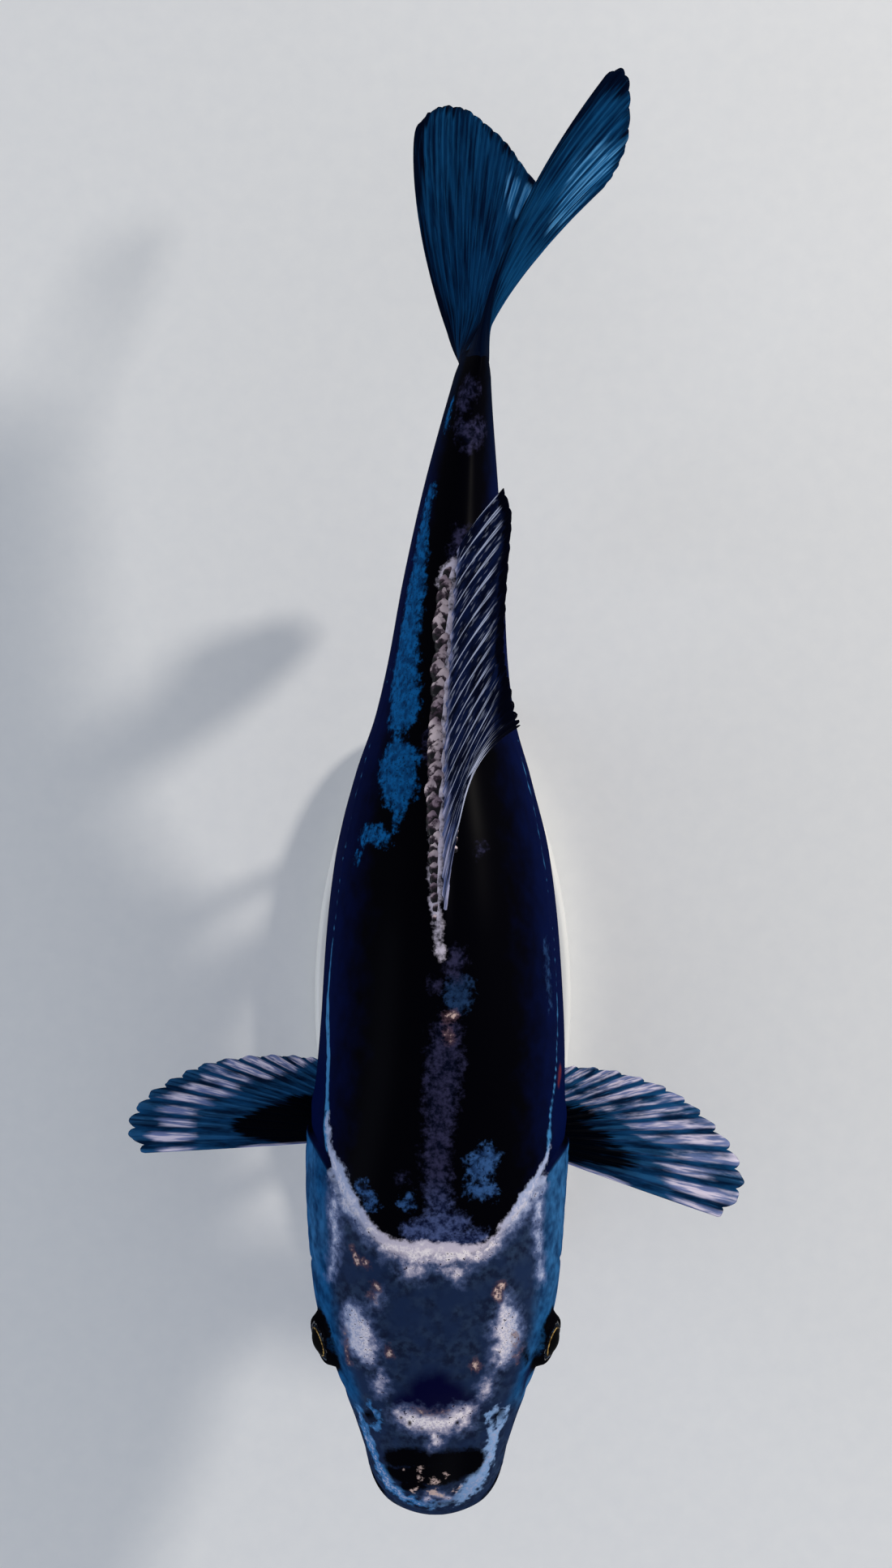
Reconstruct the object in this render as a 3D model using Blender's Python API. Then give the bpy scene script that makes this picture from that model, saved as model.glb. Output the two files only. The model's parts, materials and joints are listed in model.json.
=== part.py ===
"""A koi carp, about 300 mm long, hovering in water with its paired fins spread, held on a museum stand.

Metres, +Z up. The head points along -Y and the fish's left side along +X. The origin is the centre of the
stand's underside. Lengths of the fish are shares of BODY_LENGTH, the distance from snout to tail root.
"""

import math

import bmesh
import bpy
import numpy as np
from mathutils import Vector

# Driving dimensions
BODY_LENGTH = 0.240
AXIS_HEIGHT = 0.060
SNOUT_Y = -0.105
GAP = 0.0003
FINEST = 0.00055

# Bends of the body's axis seen from above, as shares of BODY_LENGTH
TAIL_SWING = 0.0274
SWING_START = 0.60
SWING_POWER = 1.6
HEAD_DRIFT = -0.006
DRIFT_RANGE = (0.26, 0.44)

# The body's sections: place along it, half width, height of the back, depth of the belly, and the level at
# which it is widest, all measured from the axis
BODY_SECTIONS = (
    (0.000, 0.0000, -0.0220, -0.0220, -0.022),
    (0.004, 0.0225, -0.0020, -0.0420, -0.022),
    (0.013, 0.0395, 0.0090, -0.0520, -0.021),
    (0.028, 0.0510, 0.0210, -0.0615, -0.020),
    (0.050, 0.0590, 0.0350, -0.0710, -0.018),
    (0.085, 0.0705, 0.0540, -0.0820, -0.014),
    (0.120, 0.0840, 0.0715, -0.0915, -0.010),
    (0.160, 0.0975, 0.0880, -0.1000, -0.010),
    (0.200, 0.1062, 0.1020, -0.1080, -0.014),
    (0.250, 0.1110, 0.1160, -0.1150, -0.018),
    (0.300, 0.1130, 0.1280, -0.1200, -0.020),
    (0.360, 0.1090, 0.1390, -0.1260, -0.020),
    (0.430, 0.1055, 0.1470, -0.1300, -0.020),
    (0.500, 0.1012, 0.1490, -0.1300, -0.020),
    (0.570, 0.0930, 0.1420, -0.1250, -0.018),
    (0.640, 0.0760, 0.1280, -0.1140, -0.012),
    (0.690, 0.0605, 0.1150, -0.0990, -0.004),
    (0.740, 0.0515, 0.1020, -0.0850, 0.002),
    (0.800, 0.0445, 0.0880, -0.0730, 0.004),
    (0.880, 0.0335, 0.0730, -0.0610, 0.005),
    (0.940, 0.0235, 0.0660, -0.0565, 0.005),
    (1.000, 0.0125, 0.0660, -0.0575, 0.005),
)
# How square the sections are, above and below the widest level: 2 is an ellipse
BACK_SQUARENESS = ((0.0, 2.0), (0.08, 2.3), (0.2, 2.45), (0.4, 2.15), (0.7, 2.0), (1.0, 1.9))
BELLY_SQUARENESS = ((0.0, 2.0), (0.1, 2.2), (0.4, 2.4), (0.6, 2.3), (0.8, 2.0), (1.0, 1.9))

# Where the body is parted
NECK_TOP = 0.232
NECK_SIDE = 0.300
THROAT = 0.245
VENT = 0.700
BODY_SIDES = 28
HEAD_RINGS = 13
TRUNK_RINGS = 12
STALK_RINGS = 10

# Jaw: the mouth's line in side view runs from the snout to its corner, and the jaw ends under the throat
MOUTH_FRONT = (-0.020, -0.0330)
MOUTH_CORNER = (0.060, -0.0480)
JAW_END = (0.078, -0.1200)

# Eyes
EYE_RADIUS = 0.0062
EYE_PLACE = 0.154
EYE_ANGLE = math.radians(12)
EYE_INSET = 0.0034

# Gill covers
GILL_FRONT = 0.192
GILL_BACK = 0.250
GILL_TAPER = 0.034
GILL_REACH = 0.079
GILL_MIDDLE = math.radians(-4)
GILL_HALF_ANGLE = math.radians(52)
GILL_TOP_CURVE = 0.45
GILL_LOW_CURVE = 1.1
GILL_THICKNESS = 0.0024
GILL_LIFT = 0.0004
GILL_BOW = 0.026

# Barbels: place, angle round the body, length, radius at the root, and the way the tip points
REAR_BARBEL = (0.062, math.radians(-28), 0.0110, 0.00085, Vector((0.10, 0.45, -0.90)))
FRONT_BARBEL = (0.030, math.radians(-14), 0.0052, 0.00060, Vector((0.25, 0.10, -0.95)))
BARBEL_TIP = 0.45
BARBEL_SIDES = 6

# Dorsal fin, laid over to the fish's left: along its base, the reach of the rays backwards, sideways and up
DORSAL_BASE = (0.502, 0.824)
DORSAL_RAYS = 18
DORSAL_REACH = (
    (0.00, 0.179, 0.066, 0.030),
    (0.12, 0.150, 0.062, 0.044),
    (0.25, 0.129, 0.057, 0.050),
    (0.50, 0.092, 0.050, 0.050),
    (0.60, 0.084, 0.050, 0.046),
    (0.85, 0.076, 0.051, 0.036),
    (1.00, 0.059, 0.041, 0.024),
)

# Tail fin, from its lowest ray (0) to its highest (1): the reach of the rays backwards, sideways and up
TAIL_RAYS = 10
TAIL_ROOT_THICKNESS = 0.0052
TAIL_ROOT_ROLL = 0.011
TAIL_BULGE = -0.017
TAIL_BULGE_END = 0.4
TAIL_REACH = (
    (0.00, 0.220, -0.044, -0.040),
    (0.05, 0.233, -0.033, -0.045),
    (0.10, 0.238, -0.020, -0.049),
    (0.16, 0.235, -0.005, -0.052),
    (0.24, 0.220, 0.013, -0.049),
    (0.32, 0.200, 0.031, -0.040),
    (0.40, 0.177, 0.044, -0.026),
    (0.46, 0.151, 0.062, -0.012),
    (0.50, 0.133, 0.077, 0.000),
    (0.60, 0.142, 0.099, 0.012),
    (0.72, 0.159, 0.117, 0.026),
    (0.84, 0.189, 0.127, 0.036),
    (0.93, 0.219, 0.127, 0.040),
    (1.00, 0.238, 0.113, 0.039),
)

# Paired fins: across the fan, the sweep of each ray from the leading one in degrees, and its reach
PECTORAL_FAN = (
    (0.00, 0.0, 0.190),
    (0.12, 7.6, 0.203),
    (0.24, 14.0, 0.194),
    (0.40, 22.4, 0.168),
    (0.55, 29.7, 0.142),
    (0.70, 38.5, 0.110),
    (0.85, 50.0, 0.080),
    (1.00, 64.0, 0.058),
)
PECTORAL_RAYS = 14
PECTORAL_ROOT = (0.335, math.radians(-44))
PECTORAL_ROOT_WIDTH = 0.042
PECTORAL_LEAD = {"left": math.radians(-20), "right": math.radians(-4)}
PECTORAL_SPREAD = {"left": 1.0, "right": 0.74}
PECTORAL_DROOP = 0.12
PELVIC_FAN = ((0.0, 0.0, 0.126), (0.2, 6.0, 0.138), (0.5, 16.0, 0.122), (0.8, 26.0, 0.090), (1.0, 34.0, 0.066))
PELVIC_RAYS = 9
PELVIC_ROOT = (0.500, math.radians(-62))
PELVIC_ROOT_WIDTH = 0.024
PELVIC_LEAD = math.radians(75)
PELVIC_DROOP = 0.42

# Anal fin: along its base, the reach of the rays backwards, sideways and up
ANAL_BASE = (0.752, 0.815)
ANAL_RAYS = 8
ANAL_REACH = ((0.0, 0.070, 0.0, -0.098), (0.25, 0.080, 0.0, -0.088), (0.6, 0.066, 0.0, -0.062), (1.0, 0.050, 0.0, -0.040))

# Fin make-up
ROOT_THICKNESS = 0.0018
RAY_THICKNESS = 0.0011
MEMBRANE_SHARE = 0.6
SCALLOP = {"pectoral": 0.035, "pelvic": 0.025, "dorsal": 0.02, "anal": 0.02, "tail": 0.012}
ROOT_DEPTH = 0.0030

# Stand
BASE_LENGTH = 0.124
BASE_WIDTH = 0.056
BASE_THICKNESS = 0.008
BASE_BEVEL = 0.0015
BASE_SIDES = 36
ROD_RADIUS = 0.0020
COLLAR_RADIUS = 0.0042
COLLAR_HEIGHT = 0.0016
SADDLE_RADIUS = 0.0046
SADDLE_HEIGHT = 0.0030
ROD_PLACES = {"front": 0.360, "rear": 0.620}
ROD_SIDES = 16

SIDES = {"left": 1, "right": -1}
FINS_IN_BODY = []


def through(points):
    """A smooth curve through (place, value) pairs that doesn't overshoot them."""
    place, value = np.array(points, float).T
    step = np.diff(place)
    slope = np.diff(value) / step
    same_way = slope[:-1] * slope[1:] > 0
    total = np.where(same_way, slope[:-1] + slope[1:], 1.0)
    inner = np.where(same_way, 2 * slope[:-1] * slope[1:] / total, 0.0)
    tangent = np.concatenate([slope[:1], inner, slope[-1:]])

    def at(x):
        i = int(np.clip(np.searchsorted(place, x) - 1, 0, len(step) - 1))
        t = (min(max(x, place[0]), place[-1]) - place[i]) / step[i]
        start, end = value[i], value[i + 1]
        lead, trail = tangent[i] * step[i], tangent[i + 1] * step[i]
        return float(
            start * (1 + 2 * t) * (1 - t) ** 2
            + lead * t * (1 - t) ** 2
            + end * t * t * (3 - 2 * t)
            + trail * t * t * (t - 1)
        )

    return at


def column(table, number, spread=1.0):
    """One column of a table as a smooth curve over the first; spread below 1 rounds the start of the curve."""
    return through([(row[0] ** spread, row[number]) for row in table])


# The sections are joined over the square root of the place, which makes the snout round and not pointed.
half_width_at, back_at, belly_at, level_at = (column(BODY_SECTIONS, n, 0.5) for n in (1, 2, 3, 4))
back_squareness_at = column(BACK_SQUARENESS, 1)
belly_squareness_at = column(BELLY_SQUARENESS, 1)


def ease(x):
    x = min(max(x, 0.0), 1.0)
    return x * x * (3 - 2 * x)


def axis_side(place):
    """How far the body's axis lies to the fish's left, as a share of its length."""
    swing = max(0.0, (place - SWING_START) / (1 - SWING_START)) ** SWING_POWER
    return TAIL_SWING * swing + HEAD_DRIFT * (1 - ease((place - DRIFT_RANGE[0]) / (DRIFT_RANGE[1] - DRIFT_RANGE[0])))


def axis_point(place):
    return Vector((axis_side(place), SNOUT_Y / BODY_LENGTH + place, 0)) * BODY_LENGTH


def sideways(place):
    """The direction to the fish's left, square to its axis."""
    step = 0.01
    along = axis_point(place + step) - axis_point(place - step)
    return Vector((along.y, -along.x, 0)).normalized()


def bent_power(value, power):
    return math.copysign(abs(value) ** power, value)


def on_body(place, angle, out=0.0):
    """A point of the body's surface, or out metres off it. Angle 0 is the left side and 90 degrees the back."""
    root = math.sqrt(max(place, 0.0))
    level = level_at(root)
    if math.sin(angle) >= 0:
        height, squareness = back_at(root) - level, back_squareness_at(place)
    else:
        height, squareness = level - belly_at(root), belly_squareness_at(place)
    half = half_width_at(root) * BODY_LENGTH + out
    height = height * BODY_LENGTH + out
    side = half * bent_power(math.cos(angle), 2 / squareness)
    up = height * bent_power(math.sin(angle), 2 / squareness) + level * BODY_LENGTH
    return axis_point(place) + sideways(place) * side + Vector((0, 0, up))


def body_normal(place, angle):
    along = on_body(place + 0.004, angle) - on_body(place - 0.004, angle)
    around = on_body(place, angle + 0.03) - on_body(place, angle - 0.03)
    return along.cross(around).normalized()


def material(name, colour, roughness, metallic=0.0):
    made = bpy.data.materials.new(name)
    made.use_nodes = True
    shader = made.node_tree.nodes["Principled BSDF"]
    shader.inputs["Base Color"].default_value = (*colour, 1)
    shader.inputs["Roughness"].default_value = roughness
    shader.inputs["Metallic"].default_value = metallic
    return made


def add_object(name, mesh_maker, finish, parent=None, place=(0, 0, 0)):
    """Makes one named object from a bmesh that mesh_maker fills, with faces pointing out and smooth shading."""
    bm = bmesh.new()
    mesh_maker(bm)
    bmesh.ops.recalc_face_normals(bm, faces=bm.faces)
    mesh = bpy.data.meshes.new(name)
    bm.to_mesh(mesh)
    bm.free()
    mesh.shade_smooth()
    mesh.set_sharp_from_angle(angle=math.radians(50))
    made = bpy.data.objects.new(name, mesh)
    bpy.context.scene.collection.objects.link(made)
    made.location = place
    made.parent = parent
    if finish:
        mesh.materials.append(finish)
    return made


def hide_guide(guide):
    guide.hide_render = True
    guide.display_type = "WIRE"
    return guide


def boolean(target, cutter, operation="DIFFERENCE"):
    modifier = target.modifiers.new(cutter.name, "BOOLEAN")
    modifier.operation = operation
    modifier.object = cutter


def fill_sheet(bm, columns, rows, place):
    """A grid of faces whose points place(u, v) puts down, with u and v from 0 to 1."""
    made = bmesh.ops.create_grid(bm, x_segments=columns, y_segments=rows, size=0.5)["verts"]
    for vert in made:
        vert.co = place(min(max(vert.co.x + 0.5, 0), 1), min(max(vert.co.y + 0.5, 0), 1))


def fill_tube(bm, sides, rings, place):
    """A grid rolled into a tube: u runs round it and v along it. Its ends are closed."""
    fill_sheet(bm, sides, rings, place)
    bmesh.ops.remove_doubles(bm, verts=bm.verts, dist=1e-6)
    ends = [edge for edge in bm.edges if edge.is_boundary]
    caps = bmesh.ops.holes_fill(bm, edges=ends, sides=0)["faces"]
    bmesh.ops.poke(bm, faces=caps)


def neck_at(angle):
    """Where the head ends: furthest forward at the nape and the throat, and furthest back behind the cheeks."""
    middle = NECK_TOP if math.sin(angle) > 0 else THROAT
    return middle + (NECK_SIDE - middle) * math.cos(angle) ** 2


def stretch_of_body(name, start_at, end_at, rings, finish, parent, out=0.0, sides=BODY_SIDES):
    """The body between two places, each a function of the angle. Its rings are closer together at the snout."""

    def place(u, v):
        angle = u * math.tau
        start, end = math.sqrt(start_at(angle)), math.sqrt(end_at(angle))
        return on_body((start + (end - start) * v) ** 2, angle, out)

    return add_object(name, lambda bm: fill_tube(bm, sides, rings, place), finish, parent)


def jaw_prism(name, parent, grow):
    """A wedge through the head under the mouth's line. Grow moves its upper and rear faces outwards."""
    drop = -0.2 * BODY_LENGTH

    def outline_point(pair, dy, dz):
        return (SNOUT_Y + pair[0] * BODY_LENGTH + dy, pair[1] * BODY_LENGTH + dz)

    outline = [
        outline_point(MOUTH_FRONT, 0, grow),
        outline_point(MOUTH_CORNER, grow, grow),
        outline_point(JAW_END, grow, 0),
        outline_point((JAW_END[0], 0), grow, drop),
        outline_point((MOUTH_FRONT[0], 0), 0, drop),
    ]

    def fill(bm):
        half = 0.12 * BODY_LENGTH
        face = bm.faces.new([bm.verts.new((-half, y, z)) for y, z in outline])
        pushed = bmesh.ops.extrude_face_region(bm, geom=[face])["geom"]
        moved = [item for item in pushed if isinstance(item, bmesh.types.BMVert)]
        bmesh.ops.translate(bm, verts=moved, vec=(2 * half, 0, 0))

    return hide_guide(add_object(name, fill, None, parent))


def gill_cover(name, side, finish, parent, grow=0.0, outer=0.0):
    """A bowed plate over the gill opening, a little proud of the body. Grow widens it all round, for the recess
    it lies in, and outer makes its outside thicker."""

    def place(u, v):
        swing = 2 * u - 1
        angle = GILL_MIDDLE + (GILL_HALF_ANGLE + grow / GILL_BOW) * swing
        round_edge = (1 - (0.96 * swing) ** 2) ** (GILL_TOP_CURVE if swing > 0 else GILL_LOW_CURVE)
        front = GILL_FRONT + GILL_TAPER * swing * swing - grow / BODY_LENGTH
        back = GILL_BACK + GILL_REACH * round_edge + grow / BODY_LENGTH
        out = GILL_LIFT * (1 + v) - GILL_THICKNESS / 2
        return on_body(front + (back - front) * v, angle if side > 0 else math.pi - angle, out)

    cover = add_object(name, lambda bm: fill_sheet(bm, 10, 5, place), finish, parent)
    solid = cover.modifiers.new("plate", "SOLIDIFY")
    inner = grow / 2
    solid.thickness = GILL_THICKNESS + inner + outer
    solid.offset = (outer - inner) / solid.thickness
    return cover


def add_eye(name, side, finish, parent, grow=0.0):
    angle = EYE_ANGLE if side > 0 else math.pi - EYE_ANGLE
    centre = on_body(EYE_PLACE, angle) - body_normal(EYE_PLACE, angle) * EYE_INSET

    def fill(bm):
        bmesh.ops.create_uvsphere(bm, u_segments=16, v_segments=9, radius=EYE_RADIUS + grow)

    eye = add_object(name, fill, finish, parent, centre)
    eye.rotation_euler = body_normal(EYE_PLACE, angle).to_track_quat("Z", "Y").to_euler()
    return eye


def add_barbel(name, shape, side, finish, parent, body_guide):
    """A feeler that leaves the lip outwards and curls down and back as it thins."""
    place_on, angle, length, radius, way = shape
    angle = angle if side > 0 else math.pi - angle
    normal = body_normal(place_on, angle)
    start = on_body(place_on, angle) - normal * 0.0015
    tip_way = Vector((way.x * side, way.y, way.z)).normalized()

    def middle(v):
        return start + normal * (length * v * (0.55 - 0.25 * v)) + tip_way * (length * 0.75 * v * v)

    def place(u, v):
        along = (middle(v + 0.01) - middle(v - 0.01)).normalized()
        across = along.orthogonal().normalized()
        other = along.cross(across)
        thin = radius * (1 - (1 - BARBEL_TIP) * v)
        turn = u * math.tau
        return middle(v) + (across * math.cos(turn) + other * math.sin(turn)) * thin

    barbel = add_object(name, lambda bm: fill_tube(bm, BARBEL_SIDES, 4, place), finish, parent)
    boolean(barbel, body_guide)
    return barbel


def add_fin(name, rays, place, finish, parent, root_thickness=ROOT_THICKNESS, rows=5, span=(0.0, 1.0)):
    """A fin as a sheet of rays and the thinner membranes between them, scalloped along its free edge.

    place(t, v) is a point of the sheet: t runs over the rays, from the leading one, and v out along them.
    """
    columns = 2 * (rays - 1)
    scallop = SCALLOP[name.split("_")[0]]
    weights = {}

    def put(u, v):
        number = round(u * columns)
        is_ray = number % 2 == 0
        reach = v if is_ray else v * (1 - scallop)
        point = place(span[0] + (span[1] - span[0]) * u, reach)
        thick = root_thickness + (RAY_THICKNESS - root_thickness) * min(1.0, v / 0.25)
        thick += (FINEST / MEMBRANE_SHARE - RAY_THICKNESS) * max(0.0, (v - 0.25) / 0.75)
        thick *= 1.0 if is_ray or v == 0 else MEMBRANE_SHARE
        weights[tuple(round(c, 7) for c in point)] = max(thick, FINEST) / root_thickness
        return point

    fin = add_object(name, lambda bm: fill_sheet(bm, columns, rows, put), finish, parent)
    group = fin.vertex_groups.new(name="thickness")
    for vert in fin.data.vertices:
        found = weights.get(tuple(round(c, 7) for c in vert.co))
        group.add([vert.index], found if found else MEMBRANE_SHARE, "REPLACE")
    solid = fin.modifiers.new("sides", "SOLIDIFY")
    solid.thickness = root_thickness
    solid.offset = 0.0
    solid.vertex_group = group.name
    return fin


def base_fin_place(base, reach_table, top, root_depth):
    """place(t, v) for a fin that stands along the body's back (top 1) or belly (top -1)."""
    back_of, side_of, up_of = (column(reach_table, n) for n in (1, 2, 3))

    def place(t, v):
        along = base[0] + (base[1] - base[0]) * t
        root = on_body(along, top * math.pi / 2) - Vector((0, 0, top * root_depth))
        rise = math.sin(v * math.pi / 2) ** 0.9
        curl = 0.7 * v + 0.3 * v**8 if t == 0 else v**1.3
        offset = Vector((side_of(t) * curl, back_of(t) * v, up_of(t) * rise))
        return root + offset * BODY_LENGTH + Vector((0, 0, top * root_depth * min(1.0, 4 * v)))

    return place


def tail_place(t, v):
    """place(t, v) for the tail fin: low rays spread at once, and high ones only near their tips."""
    end_root = axis_point(1.0)
    low, high = belly_at(1.0), back_at(1.0)
    root = end_root + Vector(((t - 0.5) * TAIL_ROOT_ROLL, -0.004, low + (high - low) * t)) * BODY_LENGTH
    bulge = TAIL_BULGE * max(0.0, 1 - t / TAIL_BULGE_END) ** 2 * math.sin(math.pi * v) ** 0.6
    offset = Vector((tail_side_at(t) * v ** (1 + 0.75 * t) + bulge, tail_back_at(t) * v, tail_up_at(t) * v**1.2))
    return root + offset * BODY_LENGTH


tail_back_at, tail_side_at, tail_up_at = (column(TAIL_REACH, n) for n in (1, 2, 3))


def paired_fin_place(side, root_at, root_width, lead, fan, spread, droop):
    """place(t, v) for a fin fanned out from the lower flank: lead turns the first ray from straight out."""
    sweep_of, reach_of = column(fan, 1), column(fan, 2)
    angle = root_at[1] if side > 0 else math.pi - root_at[1]

    def place(t, v):
        along = root_at[0] + (t - 0.5) * root_width
        root = on_body(along, angle) - body_normal(along, angle) * (ROOT_DEPTH * 1.3)
        turn = lead + math.radians(sweep_of(t)) * spread
        way = Vector((math.cos(turn) * side, math.sin(turn), -droop * (1 - 0.35 * t)))
        camber = Vector((0, 0, 0.012 * math.sin(v * math.pi) * math.sin(math.pi * (0.2 + 0.7 * t))))
        return root + (way * (reach_of(t) * v) + camber) * BODY_LENGTH

    return place


def add_rod(name, place_on, finish, body_guide):
    """A round rod turned in one piece with the collar on the base and the saddle that meets the belly."""
    bottom = BASE_THICKNESS + GAP
    belly = AXIS_HEIGHT + belly_at(math.sqrt(place_on)) * BODY_LENGTH
    top = belly + 0.0012
    profile = [
        (0, bottom),
        (COLLAR_RADIUS, bottom),
        (COLLAR_RADIUS, bottom + COLLAR_HEIGHT),
        (ROD_RADIUS, bottom + 2 * COLLAR_HEIGHT),
        (ROD_RADIUS, belly - SADDLE_HEIGHT),
        (SADDLE_RADIUS, belly - SADDLE_HEIGHT / 3),
        (SADDLE_RADIUS, top),
        (0, top),
    ]

    def fill(bm):
        points = [bm.verts.new((r, 0, z)) for r, z in profile]
        line = [bm.edges.new(pair) for pair in zip(points, points[1:])]
        bmesh.ops.spin(
            bm, geom=points + line, axis=(0, 0, 1), cent=(0, 0, 0), angle=math.tau, steps=ROD_SIDES, use_merge=True
        )
        bmesh.ops.remove_doubles(bm, verts=bm.verts, dist=1e-6)

    foot = axis_point(place_on)
    rod = add_object(name, fill, finish, None, (foot.x, foot.y, 0))
    boolean(rod, body_guide)
    return rod


def add_base(finish):
    """An oval plate with its upper and lower rims bevelled."""

    def fill(bm):
        rim = bmesh.ops.create_circle(bm, cap_ends=True, segments=BASE_SIDES, radius=0.5)["verts"]
        bmesh.ops.scale(bm, verts=rim, vec=(BASE_WIDTH, BASE_LENGTH, 1))
        pushed = bmesh.ops.extrude_face_region(bm, geom=list(bm.faces))["geom"]
        moved = [item for item in pushed if isinstance(item, bmesh.types.BMVert)]
        bmesh.ops.translate(bm, verts=moved, vec=(0, 0, BASE_THICKNESS))

    base = add_object("stand_base", fill, finish)
    bevel = base.modifiers.new("rims", "BEVEL")
    bevel.width = BASE_BEVEL
    bevel.segments = 1
    bevel.limit_method = "ANGLE"
    return base


def clear_scene():
    for old in list(bpy.data.objects):
        bpy.data.objects.remove(old)


def build():
    clear_scene()
    black_skin = material("black skin", (0.004, 0.005, 0.012), 0.35)
    head_skin = material("slate head skin", (0.10, 0.13, 0.24), 0.35)
    gill_skin = material("blue-white gill skin", (0.12, 0.27, 0.42), 0.3)
    fin_skin = material("dark fin membrane", (0.03, 0.08, 0.18), 0.4)
    eye_dark = material("wet eye", (0.01, 0.01, 0.015), 0.08)
    lacquer = material("white lacquered wood", (0.72, 0.72, 0.70), 0.45)
    steel = material("brushed stainless steel", (0.60, 0.60, 0.61), 0.3, 1.0)

    fish = bpy.data.objects.new("koi", None)
    bpy.context.scene.collection.objects.link(fish)
    fish.location = (0, 0, AXIS_HEIGHT)

    step = GAP / BODY_LENGTH
    first = 2e-5
    def snout(angle):
        return first

    def behind_neck(angle):
        return neck_at(angle) + step

    guide = stretch_of_body("body_with_clearance", snout, lambda angle: 1 + step, 44, None, fish, out=GAP)
    body_guide = hide_guide(guide)
    head = stretch_of_body("head", snout, neck_at, HEAD_RINGS, head_skin, fish)
    trunk = stretch_of_body("trunk", behind_neck, lambda angle: VENT, TRUNK_RINGS, black_skin, fish)
    stretch_of_body("tail_stalk", lambda angle: VENT + step, lambda angle: 1.0, STALK_RINGS, black_skin, fish)

    jaw = stretch_of_body("lower_jaw", snout, neck_at, HEAD_RINGS, head_skin, fish)
    boolean(jaw, jaw_prism("jaw_wedge", fish, 0.0), "INTERSECT")
    boolean(head, jaw_prism("jaw_wedge_with_clearance", fish, GAP))

    for label, side in SIDES.items():
        gill_cover(f"gill_cover_{label}", side, gill_skin, fish)
        recess = gill_cover(f"gill_recess_{label}", side, None, fish, 2 * GAP, 0.006)
        hide_guide(recess)
        boolean(head, recess)
        boolean(trunk, recess)
        add_eye(f"eye_{label}", side, eye_dark, fish)
        socket = hide_guide(add_eye(f"eye_socket_{label}", side, None, fish, GAP))
        boolean(head, socket)
        add_barbel(f"barbel_rear_{label}", REAR_BARBEL, side, head_skin, fish, body_guide)
        add_barbel(f"barbel_front_{label}", FRONT_BARBEL, side, head_skin, fish, body_guide)

        lead, spread = PECTORAL_LEAD[label], PECTORAL_SPREAD[label]
        place = paired_fin_place(
            side, PECTORAL_ROOT, PECTORAL_ROOT_WIDTH, lead, PECTORAL_FAN, spread, PECTORAL_DROOP
        )
        fin = add_fin(f"pectoral_fin_{label}", PECTORAL_RAYS, place, fin_skin, fish)
        boolean(fin, body_guide)
        place = paired_fin_place(
            side, PELVIC_ROOT, PELVIC_ROOT_WIDTH, PELVIC_LEAD, PELVIC_FAN, 1.0, PELVIC_DROOP
        )
        fin = add_fin(f"pelvic_fin_{label}", PELVIC_RAYS, place, fin_skin, fish, rows=5)
        boolean(fin, body_guide)

    place = base_fin_place(DORSAL_BASE, DORSAL_REACH, 1, ROOT_DEPTH)
    dorsal = add_fin("dorsal_fin", DORSAL_RAYS, place, fin_skin, fish)
    boolean(dorsal, body_guide)
    place = base_fin_place(ANAL_BASE, ANAL_REACH, -1, ROOT_DEPTH)
    anal = add_fin("anal_fin", ANAL_RAYS, place, fin_skin, fish, rows=5)
    boolean(anal, body_guide)
    half_gap = 0.006
    for name, span in (("tail_fin_lower", (0, 0.5 - half_gap)), ("tail_fin_upper", (0.5 + half_gap, 1))):
        lobe = add_fin(name, TAIL_RAYS, tail_place, fin_skin, fish, TAIL_ROOT_THICKNESS, span=span)
        boolean(lobe, body_guide)

    add_base(lacquer)
    for label, place_on in ROD_PLACES.items():
        add_rod(f"stand_rod_{label}", place_on, steel, body_guide)


build()
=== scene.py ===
# %% [markdown]
# # A koi carp for a museum case
# This lesson dresses a life-size model of a koi carp, about 300 mm long, that hovers on a small display
# stand with its paired fins spread. The fish is of a breed that is almost without scales: black, with a
# slate head, a white crescent over the nape and smoky blue patches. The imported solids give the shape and
# the sizes. Here they get one unbroken skin with a mouth, nostrils and gill covers, fins with rays that
# branch, wet eyes and a satin stand. All lengths are metres, +Z is up, and the fish looks along -Y with
# its left side along +X.

import functools
import json
import math

import bmesh
import bpy
import numpy as np
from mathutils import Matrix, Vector, noise

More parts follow.
